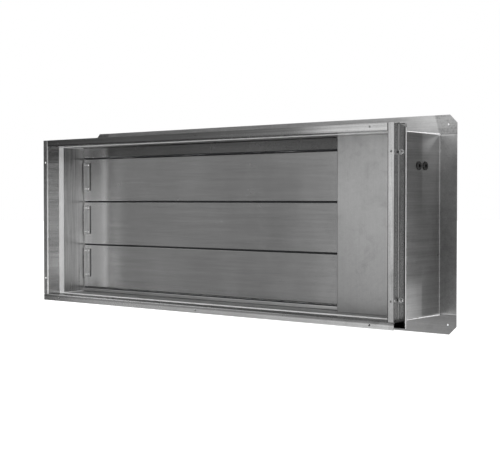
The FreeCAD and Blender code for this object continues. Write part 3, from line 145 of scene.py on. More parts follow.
# The lip beside the blades' left ends: it stands back beside each clip, with a wavy edge
LIP_FACE, LIP_THICKNESS = STOP_FACE + 0.9, 0.4
LIP_EDGE, LIP_BACK_EDGE = 3.05 - INSIDE_X, 1.0 - INSIDE_X
LIP_BOTTOM, LIP_TOP = BOTTOM_STOP + 0.75, TOP_STOP - 0.75
LIP_BACK_REACH = 46.0
LIP_WAVES, LIP_WAVE_START, LIP_WAVE_PITCH = 14, 0.5, 7.0
LIP_WAVE_SIZE, LIP_WAVE_TURN = 0.25, 2.1

SPIN_STEPS = 24
MERGE_DISTANCE = 0.01
SHARP_ANGLE = math.radians(40.0)

# Patterns of the shaders: how many fit into a metre, and how a name's letters move them
CLOUDS_PER_METRE, SMUDGES_PER_METRE, SPECKS_PER_METRE, GRAINS_PER_METRE = 5.0, 21.0, 260.0, 330.0
PLATING_GRAINS_PER_METRE, PLATING_PATCHES_PER_METRE = 900.0, 120.0
DULL_PATCHES_PER_METRE = 30.0
PLATING_GRAIN_CONTRAST, PLATING_PATCH_CONTRAST = 0.2, 0.3
PLATING_ROUGHNESS_CONTRAST, DULL_ROUGHNESS_CONTRAST = 0.2, 0.1
MOVE_PER_LETTER = (0.37, 0.11, 0.23)

# Painted light and shade on the sheets, and the clips' darker cut edge: how much each mark adds to,
# or takes from, the level of 1
PAINTED_GLARE_RAYS, PAINTED_CORNER_GLOW, PAINTED_REAR_FIELD, PAINTED_SEAM_HIGHLIGHT, PAINTED_LOW_LIGHT = 0.55, 0.2, 0.22, 0.5, 0.38
PAINTED_FLANGE_LIGHT, FLANGE_SPECKS, FLANGE_PAINTED_SHADE, FLANGE_EDGE, FRONT_LIP_PAINTED_SHADE = 0.26, 0.18, 0.08, 0.28, 0.4
HIGH_PAINTED_SHADE, WALL_PAINTED_REFLECTION, BLADE_END_PAINTED_REFLECTION, STOP_END_PAINTED_REFLECTION = 0.42, 0.30, 0.6, 1.8
RIGHT_GROOVE_SHADE, FACE_PAINTED_SHADE, LOW_FACE_PAINTED_SHADE = 0.12, 0.07, 0.42
BOTTOM_GROOVE_SHADE, INNER_EDGE_PAINTED_SHADE, LEFT_END_PAINTED_SHADE, CUT_EDGE_AND_SHADOW = 0.55, 0.3, 0.4, 0.8

# Steps through the noise that makes beads uneven
RIPPLE_STEP, RIPPLE_PLACE = 0.61, 7.0
STRAY_STEP, STRAY_PLACE, STRAY_LAYER = 0.37, 11.0, 5.0

# Studio, in metres. The floor's glow rises between two distances from the damper.
GLOW_START, GLOW_END = 1.5, 6.0
NEAR_GLOW, ADDED_GLOW = 0.35, 0.3

# Lamps: name, place, size, share of the lamp power
LAMPS = (
    ("lamp_above", (0.3, -0.6, 3.0), 2.6, 1.0),
    ("lamp_right", (2.6, -1.6, 1.6), 1.8, 0.6),
    ("lamp_behind", (-1.0, 2.8, 1.8), 2.2, 0.8),
)

# Cards: name, whether it also lies on the floor, and (degrees from -Y towards -X, level of grey)
CARD_DISTANCE, CARD_TOP, CARD_FOOT, CARD_CLEARANCE = 4.0, 1.6, 0.7, 0.01
CARDS = (
    ("card_front_left", True, [(27, 1.0), (30, 0.95), (33, 0.58), (36, 0.38), (40, 0.36),
                               (49, 0.36), (54, 0.05), (110, 0.05)]),
    ("card_front_right", False, [(-80, 0.75), (-42, 0.65), (-36, 0.22), (-15, 0.22), (-10, 1.0)]),
    ("card_behind_left", False, [(118, 0.6), (126, 0.02), (154, 0.02), (162, 0.6)]),
    ("card_behind_right", False, [(195, 1.0), (205, 0.12), (240, 0.12), (250, 1.0)]),
)


class Field:
    """A shader socket. Python's operators on it add Math nodes."""

    def __init__(self, look, socket):
        self.look = look
        self.socket = socket

    def math(self, operation, *values):
        return self.look.node("ShaderNodeMath", {"operation": operation}, dict(enumerate(values)))

    def __add__(self, other):
        return self.math("ADD", self, other)

    def __radd__(self, other):
        return self.math("ADD", other, self)

    def __sub__(self, other):
        return self.math("SUBTRACT", self, other)

    def __rsub__(self, other):
        return self.math("SUBTRACT", other, self)

    def __mul__(self, other):
        return self.math("MULTIPLY", self, other)

    def __truediv__(self, other):
        return self.math("DIVIDE", self, other)

    def __abs__(self):
        return self.math("ABSOLUTE", self)

    def at_least(self, other):
        return self.math("MAXIMUM", self, other)

    def rise(self, low, high):
        """0 below low, 1 above high, smooth between."""
        settings = {"interpolation_type": "SMOOTHSTEP"}
        inputs = {0: self, 1: low, 2: high, 3: 0.0, 4: 1.0}
        return self.look.node("ShaderNodeMapRange", settings, inputs)

    def fall(self, low, high):
        """1 below low, 0 above high, smooth between."""
        return 1.0 - self.rise(low, high)

    def rise_mm(self, low, high):
        return self.rise(low * MM, high * MM)

    def fall_mm(self, low, high):
        return self.fall(low * MM, high * MM)


class Look:
    """A material's or a world's shader, and the methods that add nodes to it."""

    def __init__(self, owner, kind="BSDF_PRINCIPLED"):
        """Owner is the name of a new material, or a world. Kind is the type of its shader."""
        self.owner = bpy.data.materials.new(owner) if isinstance(owner, str) else owner
        self.owner.use_nodes = True
        self.tree = self.owner.node_tree
        self.shader = next(node for node in self.tree.nodes if node.type == kind)

    def connect(self, socket, value):
        if isinstance(value, Field):
            self.tree.links.new(value.socket, socket)
        elif hasattr(value, "__len__") and socket.type == "RGBA":
            socket.default_value = (*value[:3], 1.0)
        else:
            socket.default_value = value

    def node(self, kind, settings=None, inputs=None, output=0):
        """Adds a node: its settings first, then the values or links of its sockets."""
        made = self.tree.nodes.new(kind)
        for name, value in (settings or {}).items():
            if name == "stops":
                stops = made.color_ramp.elements
                while len(stops) < len(value):
                    stops.new(1.0)
                for stop, (place, level) in zip(stops, value):
                    stop.position = place
                    stop.color = (level, level, level, 1.0)
            else:
                setattr(made, name, value)
        for name, value in (inputs or {}).items():
            self.connect(made.inputs[name], value)
        return Field(self, made.outputs[output])

    def place(self, scale=(1.0, 1.0, 1.0), centre=(0.0, 0.0, 0.0)):
        """The point on the piece, less a centre, times a scale per axis."""
        here = self.node("ShaderNodeTexCoord", output="Object")
        move = tuple(-part * factor for part, factor in zip(centre, scale))
        inputs = {"Vector": here, "Location": move, "Scale": scale}
        return self.node("ShaderNodeMapping", None, inputs)

    def along(self, axis):
        """The point's place along one axis."""
        here = self.node("ShaderNodeTexCoord", output="Object")
        return self.node("ShaderNodeSeparateXYZ", None, {0: here}, output=axis)

    def noise(self, place, scale, detail=2.0, roughness=0.5, distortion=0.0):
        return self.node("ShaderNodeTexNoise", None, {
            "Vector": place, "Scale": scale, "Detail": detail, "Roughness": roughness,
            "Distortion": distortion,
        })

    def cells(self, place, scale):
        """A random level for each cell of a crystal-like pattern."""
        colour = self.node("ShaderNodeTexVoronoi", None, {"Vector": place, "Scale": scale}, "Color")
        return self.node("ShaderNodeSeparateColor", None, {0: colour})

    def mix(self, factor, low, high):
        """A colour between low and high."""
        settings = {"data_type": "RGBA"}
        return self.node("ShaderNodeMix", settings, {0: factor, 6: low, 7: high}, 2)

    def shade(self, colour, level):
        """A colour times a level."""
        settings = {"operation": "SCALE"}
        return self.node("ShaderNodeVectorMath", settings, {0: colour, "Scale": level})

    def bump(self, height, distance, normal=None):
        """A surface normal tipped by height, in units of distance."""
        inputs = {"Height": height, "Distance": distance, "Strength": 1.0}
        if normal is not None:
            inputs["Normal"] = normal
        return self.node("ShaderNodeBump", None, inputs)

    def finish(self, **sockets):
        """Sets or links the shader's own sockets, given by name with _ for a blank."""
        for name, value in sockets.items():
            self.connect(self.shader.inputs[name.replace("_", " ")], value)
        return self.owner


def colour(name, default, description):
    return bpy.props.FloatVectorProperty(name=name, description=description, default=default,
                                         subtype="COLOR", size=3, min=0.0, max=1.0)


def grey(name, level, description):
    return colour(name, (level, level, level), description)


def number(name, default, description, **options):
    return bpy.props.FloatProperty(name=name, description=description, default=default, **options)


def length(name, default, description):
    return number(name, default, description, unit="LENGTH", min=0.0, precision=5)


def share(name, default, description):
    return number(name, default, description, subtype="FACTOR", min=0.0, max=1.0)


def angle(name, degrees, description):
    return number(name, math.radians(degrees), description, subtype="ANGLE")


class SheetFinish(bpy.types.PropertyGroup):
    """Colours and surface of the galvanised sheet. The greys of the frame members, covers, blade
    skins, stops and clips differ from the casing's as painted light and shade: lit and shaded
    copies of one sheet.
    """

    casing: grey("Casing", 0.54, "Sheet of the four casing panels")
    frame_top: grey("Frame top", 0.4704, "Sheet of the frame's top member")
    frame_bottom: grey("Frame bottom", 0.952, "Sheet of its bottom member")
    frame_left: grey("Frame left", 0.756, "Sheet of its left member")
    frame_right: grey("Frame right", 0.56, "Sheet of its right member")
    cover: grey("Covers", 0.41, "Sheet of the compartment's covers and partition")
    blade_front: grey("Blade fronts", 0.50, "Sheet of the blades' front skins")
    blade_rear: grey("Blade rears", 0.375, "Sheet of the blades' rear skins")
    top_stop: grey("Top stop", 0.19, "Sheet of the stop above the blades")
    bottom_stop: grey("Bottom stop", 0.456, "Sheet of the stop below them")
    bracket: grey("Brackets", 0.56, "Sheet of angles, levers, plate and link")
    clip: grey("Clips", 0.644, "Sheet of the pivot clips")
    roughness: share("Roughness", 0.30, "Roughness of clean sheet")
    spangle: length("Spangle", 0.007, "Width of one zinc crystal")
    streak: length("Streak", 0.0030, "Width of one rolling streak")
    streak_depth: length("Streak depth", 0.000012, "Depth of the rolling streaks")
    streaks_per_band: number("Streaks per band", 4.0, "Width of a broad band, in streaks", min=1.0)
    wave: length("Wave", 0.16, "Length of one soft wave in the sheet")
    wave_depth: length("Wave depth", 0.0011, "Depth of the soft waves in the sheet")
    streak_contrast: share("Streak contrast", 0.55, "How much the streaks change the level")
    band_contrast: share("Band contrast", 0.40, "How much broad bands change the level")
    grain_contrast: share("Grain contrast", 0.22, "How much the fine grain changes the level")
    crystal_contrast: share("Crystal contrast", 0.035, "How much the crystals change the level")
    cloud_contrast: share("Cloud contrast", 0.34, "How much dull patches change the level")
    smudge_shade: share("Smudge shade", 0.07, "How much darker smudges are")
    cloud_roughness: share("Cloud roughness", 0.10, "How much dull patches change the roughness")
    smudge_roughness: share("Smudge roughness", 0.06, "How much rougher smudges are")
    band_roughness: share("Band roughness", 0.08, "How much broad bands change the roughness")


class SmallPartFinish(bpy.types.PropertyGroup):
    """Colours of fasteners, seals, plastics and other small pieces."""

    zinc: grey("Zinc", 0.74, "Zinc plated fasteners")
    pale_mastic: grey("Pale mastic", 0.95, "Mastic at outer corners and clip ends")
    steel: grey("Steel", 0.50, "Bright drawn shafts")
    brass: colour("Brass", (0.62, 0.47, 0.22), "Turned brass of bushes and probe")
    board: colour("Board", (0.72, 0.69, 0.62), "Fire board inside the blades")
    graphite: colour("Graphite", (0.035, 0.036, 0.04), "Swelling seals and the paste at the clips")
    strip: grey("Strip", 0.90, "Pale strip over the joint, and its gasket")
    sealant: grey("Sealant", 0.50, "Mastic in the inner corners and at the clips")
    # Near black, so that the joint compound also draws the joint's shadow line: painted shadow
    compound: grey("Joint compound", 0.02, "Compound pressed out of the joint")
    rubber: grey("Rubber", 0.005, "Cable grommets")
    dark_plastic: colour("Dark plastic", (0.035, 0.036, 0.04), "Actuator base, sensor housing")
    light_plastic: colour("Light plastic", (0.42, 0.43, 0.44), "Actuator cover")
    red_plastic: colour("Red plastic", (0.45, 0.03, 0.02), "Test button")


class StudioSettings(bpy.types.PropertyGroup):
    """Camera, lamps and floor."""

    camera_place: bpy.props.FloatVectorProperty(
        name="Camera place", description="Where the camera stands",
        default=(1.7671, -2.1529, 0.0546), subtype="TRANSLATION", unit="LENGTH", size=3)
    camera_tilt: angle("Camera tilt", 1.30, "How far the camera looks below level")
    camera_turn: angle("Camera turn", 39.51, "How far the camera is turned from the +Y axis")
    lens: number("Lens", 78.57, "Focal length in millimetres", min=1.0)
    sensor: number("Sensor", 36.0, "Width of the sensor in millimetres", min=1.0)
    ambient: share("Ambient", 0.82, "Light from all around on dull surfaces")
    floor_height: number("Floor height", -0.75, "Height of the floor", unit="LENGTH")
    floor_radius: length("Floor radius", 40.0, "Radius of the round floor")
    floor_colour: grey("Floor colour", 0.8, "Colour of the floor")
    lamp_power: number("Lamp power", 30.0, "Power of the lamp above", unit="POWER")


def settings():
    return bpy.context.scene.damper


def sheet_look(name, tint, grain, dull=0.0, streaky=1.0, mottle=1.0, stretch=0.03, shade_ramp=None,
               marks=None):
    """Galvanised sheet: rolling streaks along the grain axis, crystals, dull patches, soft waves.

    Dull is added to the roughness. Streaky and mottle scale the streaks and the patches. Stretch
    is a streak's width over its length. The ramp argument (axis, start, end, level) is a painted
    shade ramp: the level goes from 1 before start to level past end, in millimetres, so that the
    piece gets lighter or darker along itself as light falls on it. Marks takes the look and gives
    a field that is added to the level: painted light and shade, and on the clips also their darker
    cut edge. The name's length moves the patterns, so that sheets differ.
    """
    sheet = settings().sheet
    look = Look(name)
    centre = tuple(move * len(name) for move in MOVE_PER_LETTER)
    here = look.place(centre=centre)
    stretched = [1.0, 1.0, 1.0]
    stretched[grain] = stretch
    lined = look.place(stretched, centre)
    streaks = look.noise(lined, 1.0 / sheet.streak, detail=3.0, roughness=0.6)
    bands = look.noise(lined, 1.0 / (sheet.streak * sheet.streaks_per_band))
    crystals = look.cells(here, 1.0 / sheet.spangle)
    clouds = look.noise(here, CLOUDS_PER_METRE, detail=3.0, roughness=0.55)
    dirt = look.noise(here, SMUDGES_PER_METRE, detail=4.0, roughness=0.6, distortion=0.8)
    smudges = dirt.rise(0.50, 0.72)
    fine_grain = look.noise(here, GRAINS_PER_METRE, roughness=0.7)
    level = (1.0 + (streaks - 0.5) * sheet.streak_contrast * streaky
             + (bands - 0.5) * sheet.band_contrast * streaky
             + (fine_grain - 0.5) * sheet.grain_contrast
             + (crystals - 0.5) * sheet.crystal_contrast * mottle
             + (clouds - 0.5) * sheet.cloud_contrast * mottle
             - smudges * sheet.smudge_shade * mottle)
    # Painted shade ramp: lighter or darker along the piece as light falls on it
    if shade_ramp:
        axis, start, end, far_level = shade_ramp
        level = level * (1.0 + look.along(axis).rise_mm(start, end) * (far_level - 1.0))
    # Painted light and shade marks
    if marks:
        level = level + marks(look)
    rough = (sheet.roughness + dull + (clouds - 0.5) * sheet.cloud_roughness
             + smudges * sheet.smudge_roughness + (bands - 0.5) * sheet.band_roughness * streaky)
    waves = look.noise(here, 1.0 / sheet.wave, detail=1.0)
    waved = look.bump(waves, sheet.wave_depth)
    fine = look.bump(streaks, sheet.streak_depth * streaky, waved)
    return look.finish(Base_Color=look.shade(tuple(tint), level), Metallic=1.0, Roughness=rough,
                       Normal=fine)


def round_corner(first, second, start, end):
    """1 within start of the corner that two distances are from, 0 past end, in millimetres."""
    return (first * first + second * second).fall((start * MM) ** 2, (end * MM) ** 2)


def right_wall_painted_light(look):
    """Painted light on the right wall: painted glare rays and a painted seam highlight at the rear
    corners, painted shade in front and painted light behind on the upper wall, and a painted light
    patch low at the front.
    """
    ahead = look.along(Y) * -1.0
    below = OUTSIDE_Z * MM - abs(look.along(Z))
    spread = below / ahead.at_least(MM)
    ray = spread.rise(0.12, 0.38) * spread.fall(0.45, 0.95)
    near_corner = round_corner(ahead, below, 12, 105)
    from_seam = abs(below - SHEET * MM)
    seam = from_seam.fall_mm(0.3, 2.2) * ahead.fall_mm(30, 170)
    upper = look.along(Z).rise_mm(0, 90)
    rear = look.along(Y).rise_mm(-82, -73)
    low_painted_light = look.along(Z).fall_mm(-140, -116) * (1.0 - rear)
    rays = ray * near_corner * PAINTED_GLARE_RAYS + near_corner * PAINTED_CORNER_GLOW
    rear_field = (rear - 0.6) * PAINTED_REAR_FIELD
    return upper * (rays + rear_field) + seam * PAINTED_SEAM_HIGHLIGHT + low_painted_light * PAINTED_LOW_LIGHT


def top_flange_painted_light(look):
    """On the mounting flange, a painted light field above the wall that leans to the corner.

    Outside of it the flange is darker as painted shade, and speckled. It is darker along its top,
    and the front lip carries painted shade.
    """
    across = OUTSIDE_X * MM - abs(look.along(X))
    up = abs(look.along(Z)) - OUTSIDE_Z * MM
    lean = 0.28
    inside = (across - up * lean).rise_mm(-1.0, 3.0)
    near_corner = round_corner(across, up, 10, 75)
    specks = look.noise(look.place(), SPECKS_PER_METRE).rise(0.45, 0.65)
    edge = (look.along(Z).rise_mm(FLANGE_TOP - 13.5, FLANGE_TOP - 8.5)
            * look.along(X).fall_mm(420, 480))
    front_lip = look.along(Y).fall_mm(JOINT_PLANE + 1.0, JOINT_PLANE + 4.0)
    field = inside * near_corner * PAINTED_FLANGE_LIGHT
    speckled = (1.0 - inside) * (specks * FLANGE_SPECKS + FLANGE_PAINTED_SHADE)
    return field - speckled - edge * FLANGE_EDGE - front_lip * FRONT_LIP_PAINTED_SHADE


def high_painted_shade(look):
    """Painted shade high up, where the top of the recess shades the sheet."""
    return look.along(Z).rise_mm(20, 185) * -HIGH_PAINTED_SHADE


def left_wall_painted_light(look):
    """A painted reflection, brighter sheet in front of the blades, and painted shade high up."""
    painted_reflection = look.along(Y).rise_mm(-122, -96) * look.along(Y).fall_mm(-80, -60)
    return painted_reflection * WALL_PAINTED_REFLECTION + high_painted_shade(look)


def painted_end_reflection(look, gain):
    """A painted reflection: brighter sheet at the left end."""
    return look.along(X).fall_mm(82.75 - INSIDE_X, 106.75 - INSIDE_X) * gain


def blade_painted_reflection(look):
    return painted_end_reflection(look, BLADE_END_PAINTED_REFLECTION)


def stop_painted_reflection(look):
    return painted_end_reflection(look, STOP_END_PAINTED_REFLECTION)


def groove_shade(look, dull):
    """Painted shade in the groove behind the frame's front flange."""
    return look.along(Y).rise_mm(FRAME_FACE + 3.0, FRAME_FACE + 11.0) * -dull


def right_member_painted_shade(look):
    """Painted shade in the groove, and painted shade on the face, the darker the lower it is."""
    face = look.along(Y).fall_mm(FRAME_FACE + 0.5, FRAME_FACE + 2.0)
    low = look.along(Z).fall_mm(-190, 170)
    return groove_shade(look, RIGHT_GROOVE_SHADE) - face * (low * LOW_FACE_PAINTED_SHADE + FACE_PAINTED_SHADE)


def bottom_member_painted_shade(look):
    """Painted shade in the groove, along the inner edge and at the left end."""
    inner = look.along(Z).rise_mm(-INSIDE_Z - 8.5, -INSIDE_Z - 5.0) * INNER_EDGE_PAINTED_SHADE
    left = look.along(X).fall_mm(-560, -420) * LEFT_END_PAINTED_SHADE
    return groove_shade(look, BOTTOM_GROOVE_SHADE) - inner - left


def clip_edge_and_shadow(look):
    """The dark sheared edge of a clip, on the side of the drive, widened into a painted shadow line
    on its face.
    """
    along = look.along(X)
    end = CLIP_END + 0.25
    return along.rise_mm(end - 1.8, end - 1.2) * along.fall_mm(end - 0.1, end) * -CUT_EDGE_AND_SHADOW


def plated_look(name, tint, roughness, depth=0.03):
    """Plated or turned small metal: fine grain of a depth in millimetres, and patches of dirt."""
    look = Look(name)
    here = look.place()
    grain = look.noise(here, PLATING_GRAINS_PER_METRE, detail=3.0)
    patches = look.noise(here, PLATING_PATCHES_PER_METRE, detail=3.0)
    level = (1.0 + (grain - 0.5) * PLATING_GRAIN_CONTRAST
             + (patches - 0.5) * PLATING_PATCH_CONTRAST)
    return look.finish(Base_Color=look.shade(tuple(tint), level), Metallic=1.0,
                       Roughness=roughness + (patches - 0.5) * PLATING_ROUGHNESS_CONTRAST,
                       Normal=look.bump(grain, depth * MM))


def dull_look(name, tint, roughness, grain_size, depth, mottle=0.2):
    """Rubber, mastic, board or plastic: a fine grain, sized in millimetres, and faint patches."""
    look = Look(name)
    here = look.place()
    grain = look.noise(here, 1.0 / (grain_size * MM), detail=3.0, roughness=0.6)
    patches = look.noise(here, DULL_PATCHES_PER_METRE, detail=3.0)
    level = 1.0 + (grain - 0.5) * mottle + (patches - 0.5) * mottle
    return look.finish(Base_Color=look.shade(tuple(tint), level),
                       Roughness=roughness + (patches - 0.5) * DULL_ROUGHNESS_CONTRAST,
                       Normal=look.bump(grain, depth * MM))


def dress(nodes, material):
    """Gives CAD nodes a material on every slot."""
    for name in nodes:
        mesh = frame["nodes"][name].data
        if not mesh.materials:
            mesh.materials.append(material)
        for index in range(len(mesh.materials)):
            mesh.materials[index] = material


def new_piece(name, data, material, body, slot, *nodes):
    """Makes an object of a bmesh. It rides on a body, and stands for the CAD nodes named."""
    bmesh.ops.remove_doubles(data, verts=data.verts, dist=MERGE_DISTANCE * MM)
    bmesh.ops.recalc_face_normals(data, faces=data.faces)
    mesh = bpy.data.meshes.new(name)
    data.to_mesh(mesh)
    data.free()
    mesh.materials.append(material)
    mesh.shade_smooth()
    mesh.set_sharp_from_angle(angle=SHARP_ANGLE)
    piece = bpy.data.objects.new(name, mesh)
    bpy.context.scene.collection.objects.link(piece)
    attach(piece, body)
    if nodes:
        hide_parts(*nodes)


def standing(foot, axis):
    """The placing that puts +Z along an axis, from a foot point in millimetres."""
    turn = Vector(UPWARD).rotation_difference(Vector(axis)).to_matrix().to_4x4()
    return Matrix.Translation(Vector(foot) * MM) @ turn


def turned(data, profile, foot, axis):
    """Spins a profile of (radius, height) in millimetres about an axis through a foot point."""
    place = standing(foot, axis)
    points = [data.verts.new(place @ (Vector((radius, 0.0, height)) * MM))
              for radius, height in profile]
    edges = [data.edges.new(pair) for pair in zip(points, points[1:])]
    bmesh.ops.spin(data, geom=points + edges, cent=place.translation, axis=axis, angle=math.tau,
                   steps=SPIN_STEPS, use_merge=True, use_duplicate=False)


def hexagon(data, foot, axis, height, both_rims):
    """A hexagonal block with a chamfer on its far rim, or on both rims."""
    radius = ACROSS_FLATS / 2 / math.cos(math.radians(30.0))
    made = bmesh.ops.create_circle(data, cap_ends=True, segments=6, radius=radius * MM,
                                   matrix=standing(foot, axis))
    near = made["verts"][0].link_faces[0]
    grown = bmesh.ops.extrude_face_region(data, geom=[near])["geom"]
    far = next(item for item in grown if isinstance(item, bmesh.types.BMFace))
    bmesh.ops.translate(data, verts=far.verts, vec=Vector(axis) * height * MM)
    edges = list(far.edges)
    if both_rims:
        near = next(face for face in made["verts"][0].link_faces if len(face.verts) == 6)
        edges += near.edges
    bmesh.ops.bevel(data, geom=edges, offset=HEXAGON_CHAMFER * MM, affect="EDGES", segments=2,
                    profile=0.5, material=-1)


def rivet(data, foot, axis, shank, capped):
    """A blind rivet from a foot point: its shank, and a domed head with its mandrel's hollow.

    A rivet that meets another one at its foot isn't capped there.
    """
    foot_cap = [(0.0, 0.0)] if capped else []
    head = [(radius, shank + rise) for radius, rise in RIVET_HEAD]
    profile = foot_cap + [(RIVET_RADIUS, 0.0), (RIVET_RADIUS, shank)] + head
    turned(data, profile, foot, axis)


def bead(data, section, sides, start, end, steps, grow=1.0, uneven=0.3, wander=0.0):
    """A bead with a section of (side, rise) points, along a line, all in millimetres.

    Sides are the directions of side and rise. Grow is the size at the end over the size at the
    start. Uneven is how far the size strays, and wander how far the bead strays to its side.
    """
    side, rise = (Vector(direction) * MM for direction in sides)
    first, far = Vector(start) * MM, Vector(end) * MM
    step = (far - first) / steps
    face = data.faces.new([data.verts.new(first + side * x + rise * y) for x, y in section])
    corner = first
    size = 1.0
    for number in range(1, steps + 1):
        grown = bmesh.ops.extrude_face_region(data, geom=[face])["geom"]
        face = next(item for item in grown if isinstance(item, bmesh.types.BMFace))
        ripple = noise.noise(
            Vector((number * RIPPLE_STEP, far.x * RIPPLE_PLACE, far.z * RIPPLE_PLACE)))
        next_size = (1.0 + uneven * ripple) * (1.0 + (grow - 1.0) * (number / steps) ** 2)
        stray = wander * noise.noise(
            Vector((number * STRAY_STEP, far.z * STRAY_PLACE, STRAY_LAYER)))
        next_corner = first + step * number + side * stray
        for vert in face.verts:
            vert.co = next_corner + (vert.co - corner) * (next_size / size)
        corner = next_corner
        size = next_size


def lay_inner_corners(small):
    """Mastic in the four inner corners, from the strip to the blades or to the cover."""
    mastic = bmesh.new()
    for side, rear in MASTIC_REARS:
        for top in SIGNS:
            x, z = side * INSIDE_X, top * INSIDE_Z
            bead(mastic, FILLET, ((-side, 0.0, 0.0), (0.0, 0.0, -top)), (x, STRIP_REAR, z),
                 (x, rear, z), steps=24)
    look = dull_look("grey_mastic", small.sealant, roughness=0.35, grain_size=4.0, depth=0.2)
    new_piece("corner_mastic", mastic, look, "casing", "joint_strip")


def lay_joint(small):
    """Compound pressed out of the joint all round, near black so that it also draws the joint's
    shadow line as painted shadow, and the gasket's edge at the sides.
    """
    compound, gasket = bmesh.new(), bmesh.new()
    for x in SIGNS:
        sides = ((x, 0.0, 0.0), FORWARD)
        for data, place, face in ((compound, COMPOUND_X, COMPOUND_FACE),
                                  (gasket, GASKET_X, GASKET_FACE)):
            bead(data, CROWN, sides, (place * x, face, JOINT_BOTTOM), (place * x, face, JOINT_TOP),
                 steps=90)
    for z in SIGNS:
        height = COMPOUND_Z * z
        bead(compound, CROWN, ((0.0, 0.0, z), FORWARD), (-JOINT_HALF_WIDTH, COMPOUND_FACE, height),
             (JOINT_HALF_WIDTH, COMPOUND_FACE, height), steps=200)
    dark = dull_look("dark_compound_and_shadow", small.compound, roughness=0.6, grain_size=3.0, depth=0.2)
    new_piece("joint_compound_and_shadow", compound, dark, "casing", "edge_seal")
    pale = dull_look("pale_gasket", small.strip, roughness=0.5, grain_size=3.0, depth=0.2)
    new_piece("joint_gasket_edge", gasket, pale, "casing", "joint_strip")


def lay_outer_corners(small):
    """Pale mastic along the casing's four outer corners, thicker towards the rear."""
    corners = bmesh.new()
    diagonal = 0.7071
    for x in (-OUTSIDE_X, OUTSIDE_X):
        for z in (-OUTSIDE_Z, OUTSIDE_Z):
            away = math.copysign(diagonal, x), 0.0, math.copysign(diagonal, z)
            across = away[0], 0.0, -away[2]
            bead(corners, CROWN, (across, away), (x, CORNER_FRONT, z), (x, CORNER_REAR, z),
                 steps=60, grow=3.0)
    look = dull_look("pale_mastic", small.pale_mastic, roughness=0.25, grain_size=4.0,
                     depth=0.2)
    new_piece("sealed_corners", corners, look, "casing", "joint_strip")


def lay_clip_beads(small):
    """At each clip: a dark wavy and a wide pale bead at its left, and bright ones on its ends."""
    dark = dull_look("clip_paste", small.graphite, roughness=0.7, grain_size=2.0, depth=0.1)
    pale = dull_look("clip_mastic", small.sealant, roughness=0.3, grain_size=4.0, depth=0.2)
    bright = dull_look("clip_end_mastic", small.pale_mastic, roughness=0.25, grain_size=4.0,
                       depth=0.2)
    for blade, height in zip(BLADES, BLADE_HEIGHTS):
        low, high = height - CLIP_REACH, height + CLIP_REACH
        paste, mastic, ends = bmesh.new(), bmesh.new(), bmesh.new()
        bead(paste, THIN_CROWN, (TO_DRIVE, FORWARD), (PASTE_X, CLIP_FACE, low + PASTE_START),
             (PASTE_X, CLIP_FACE, high), steps=30, uneven=1.0, wander=0.8)
        bead(mastic, WIDE_CROWN, (TO_DRIVE, FORWARD), (MASTIC_X, CLIP_FACE, low),
             (MASTIC_X, CLIP_FACE, high), steps=30)
        for z in (height - CLIP_RIVET_REACH, height + CLIP_RIVET_REACH):
            bead(ends, WIDE_CROWN, (UPWARD, FORWARD), (END_MASTIC_START, CLIP_FACE, z),
                 (END_MASTIC_END, CLIP_FACE, z), steps=12, uneven=0.8)
        new_piece(f"{blade}_clip_paste", paste, dark, blade, "edge_seal")
        new_piece(f"{blade}_clip_mastic", mastic, pale, blade, "edge_seal")
        new_piece(f"{blade}_clip_end_mastic", ends, bright, blade, "edge_seal")


def lay_stop_edges(small):
    """A dark swelling bead that closes the sliver between each stop and its blade."""
    swelling = bmesh.new()
    for z in STOP_EDGES:
        bead(swelling, ROUND, (BACKWARD, UPWARD), (STOP_EDGE_START, STOP_EDGE_PLANE, z),
             (STOP_EDGE_END, STOP_EDGE_PLANE, z), steps=60)
    look = dull_look("swelling_bead", small.graphite, roughness=0.8, grain_size=2.0, depth=0.1)
    new_piece("stop_edge_seals", swelling, look, "casing", "edge_seal")


def cut_blade_end_lip(sheet):
    """The lip beside the blades' left ends, which stands back from the clips' sweep."""
    outline = [(-INSIDE_X, LIP_BOTTOM)]
    for height in BLADE_HEIGHTS:
        low, high = height - LIP_BACK_REACH, height + LIP_BACK_REACH
        outline += [(LIP_EDGE, outline[-1][1]), (LIP_EDGE, low)]
        outline += [(LIP_BACK_EDGE + LIP_WAVE_SIZE * math.sin(LIP_WAVE_TURN * wave),
                     low + LIP_WAVE_START + wave * LIP_WAVE_PITCH) for wave in range(LIP_WAVES)]
        outline += [(LIP_EDGE, high)]
    outline += [(LIP_EDGE, LIP_TOP), (-INSIDE_X, LIP_TOP)]
    lip = bmesh.new()
    face = lip.faces.new([lip.verts.new(Vector((x, LIP_FACE, z)) * MM) for x, z in outline])
    grown = bmesh.ops.extrude_face_region(lip, geom=[face])["geom"]
    far = [item for item in grown if isinstance(item, bmesh.types.BMVert)]
    bmesh.ops.translate(lip, verts=far, vec=Vector(BACKWARD) * LIP_THICKNESS * MM)
    new_piece("blade_end_lip", lip, sheet_look("end_lip_sheet", sheet.casing, Z), "casing",
              "casing_sheet")


class DressingOperator(bpy.types.Operator):
    """Base of the operators: what they have in common."""

    bl_options = {"REGISTER", "UNDO"}


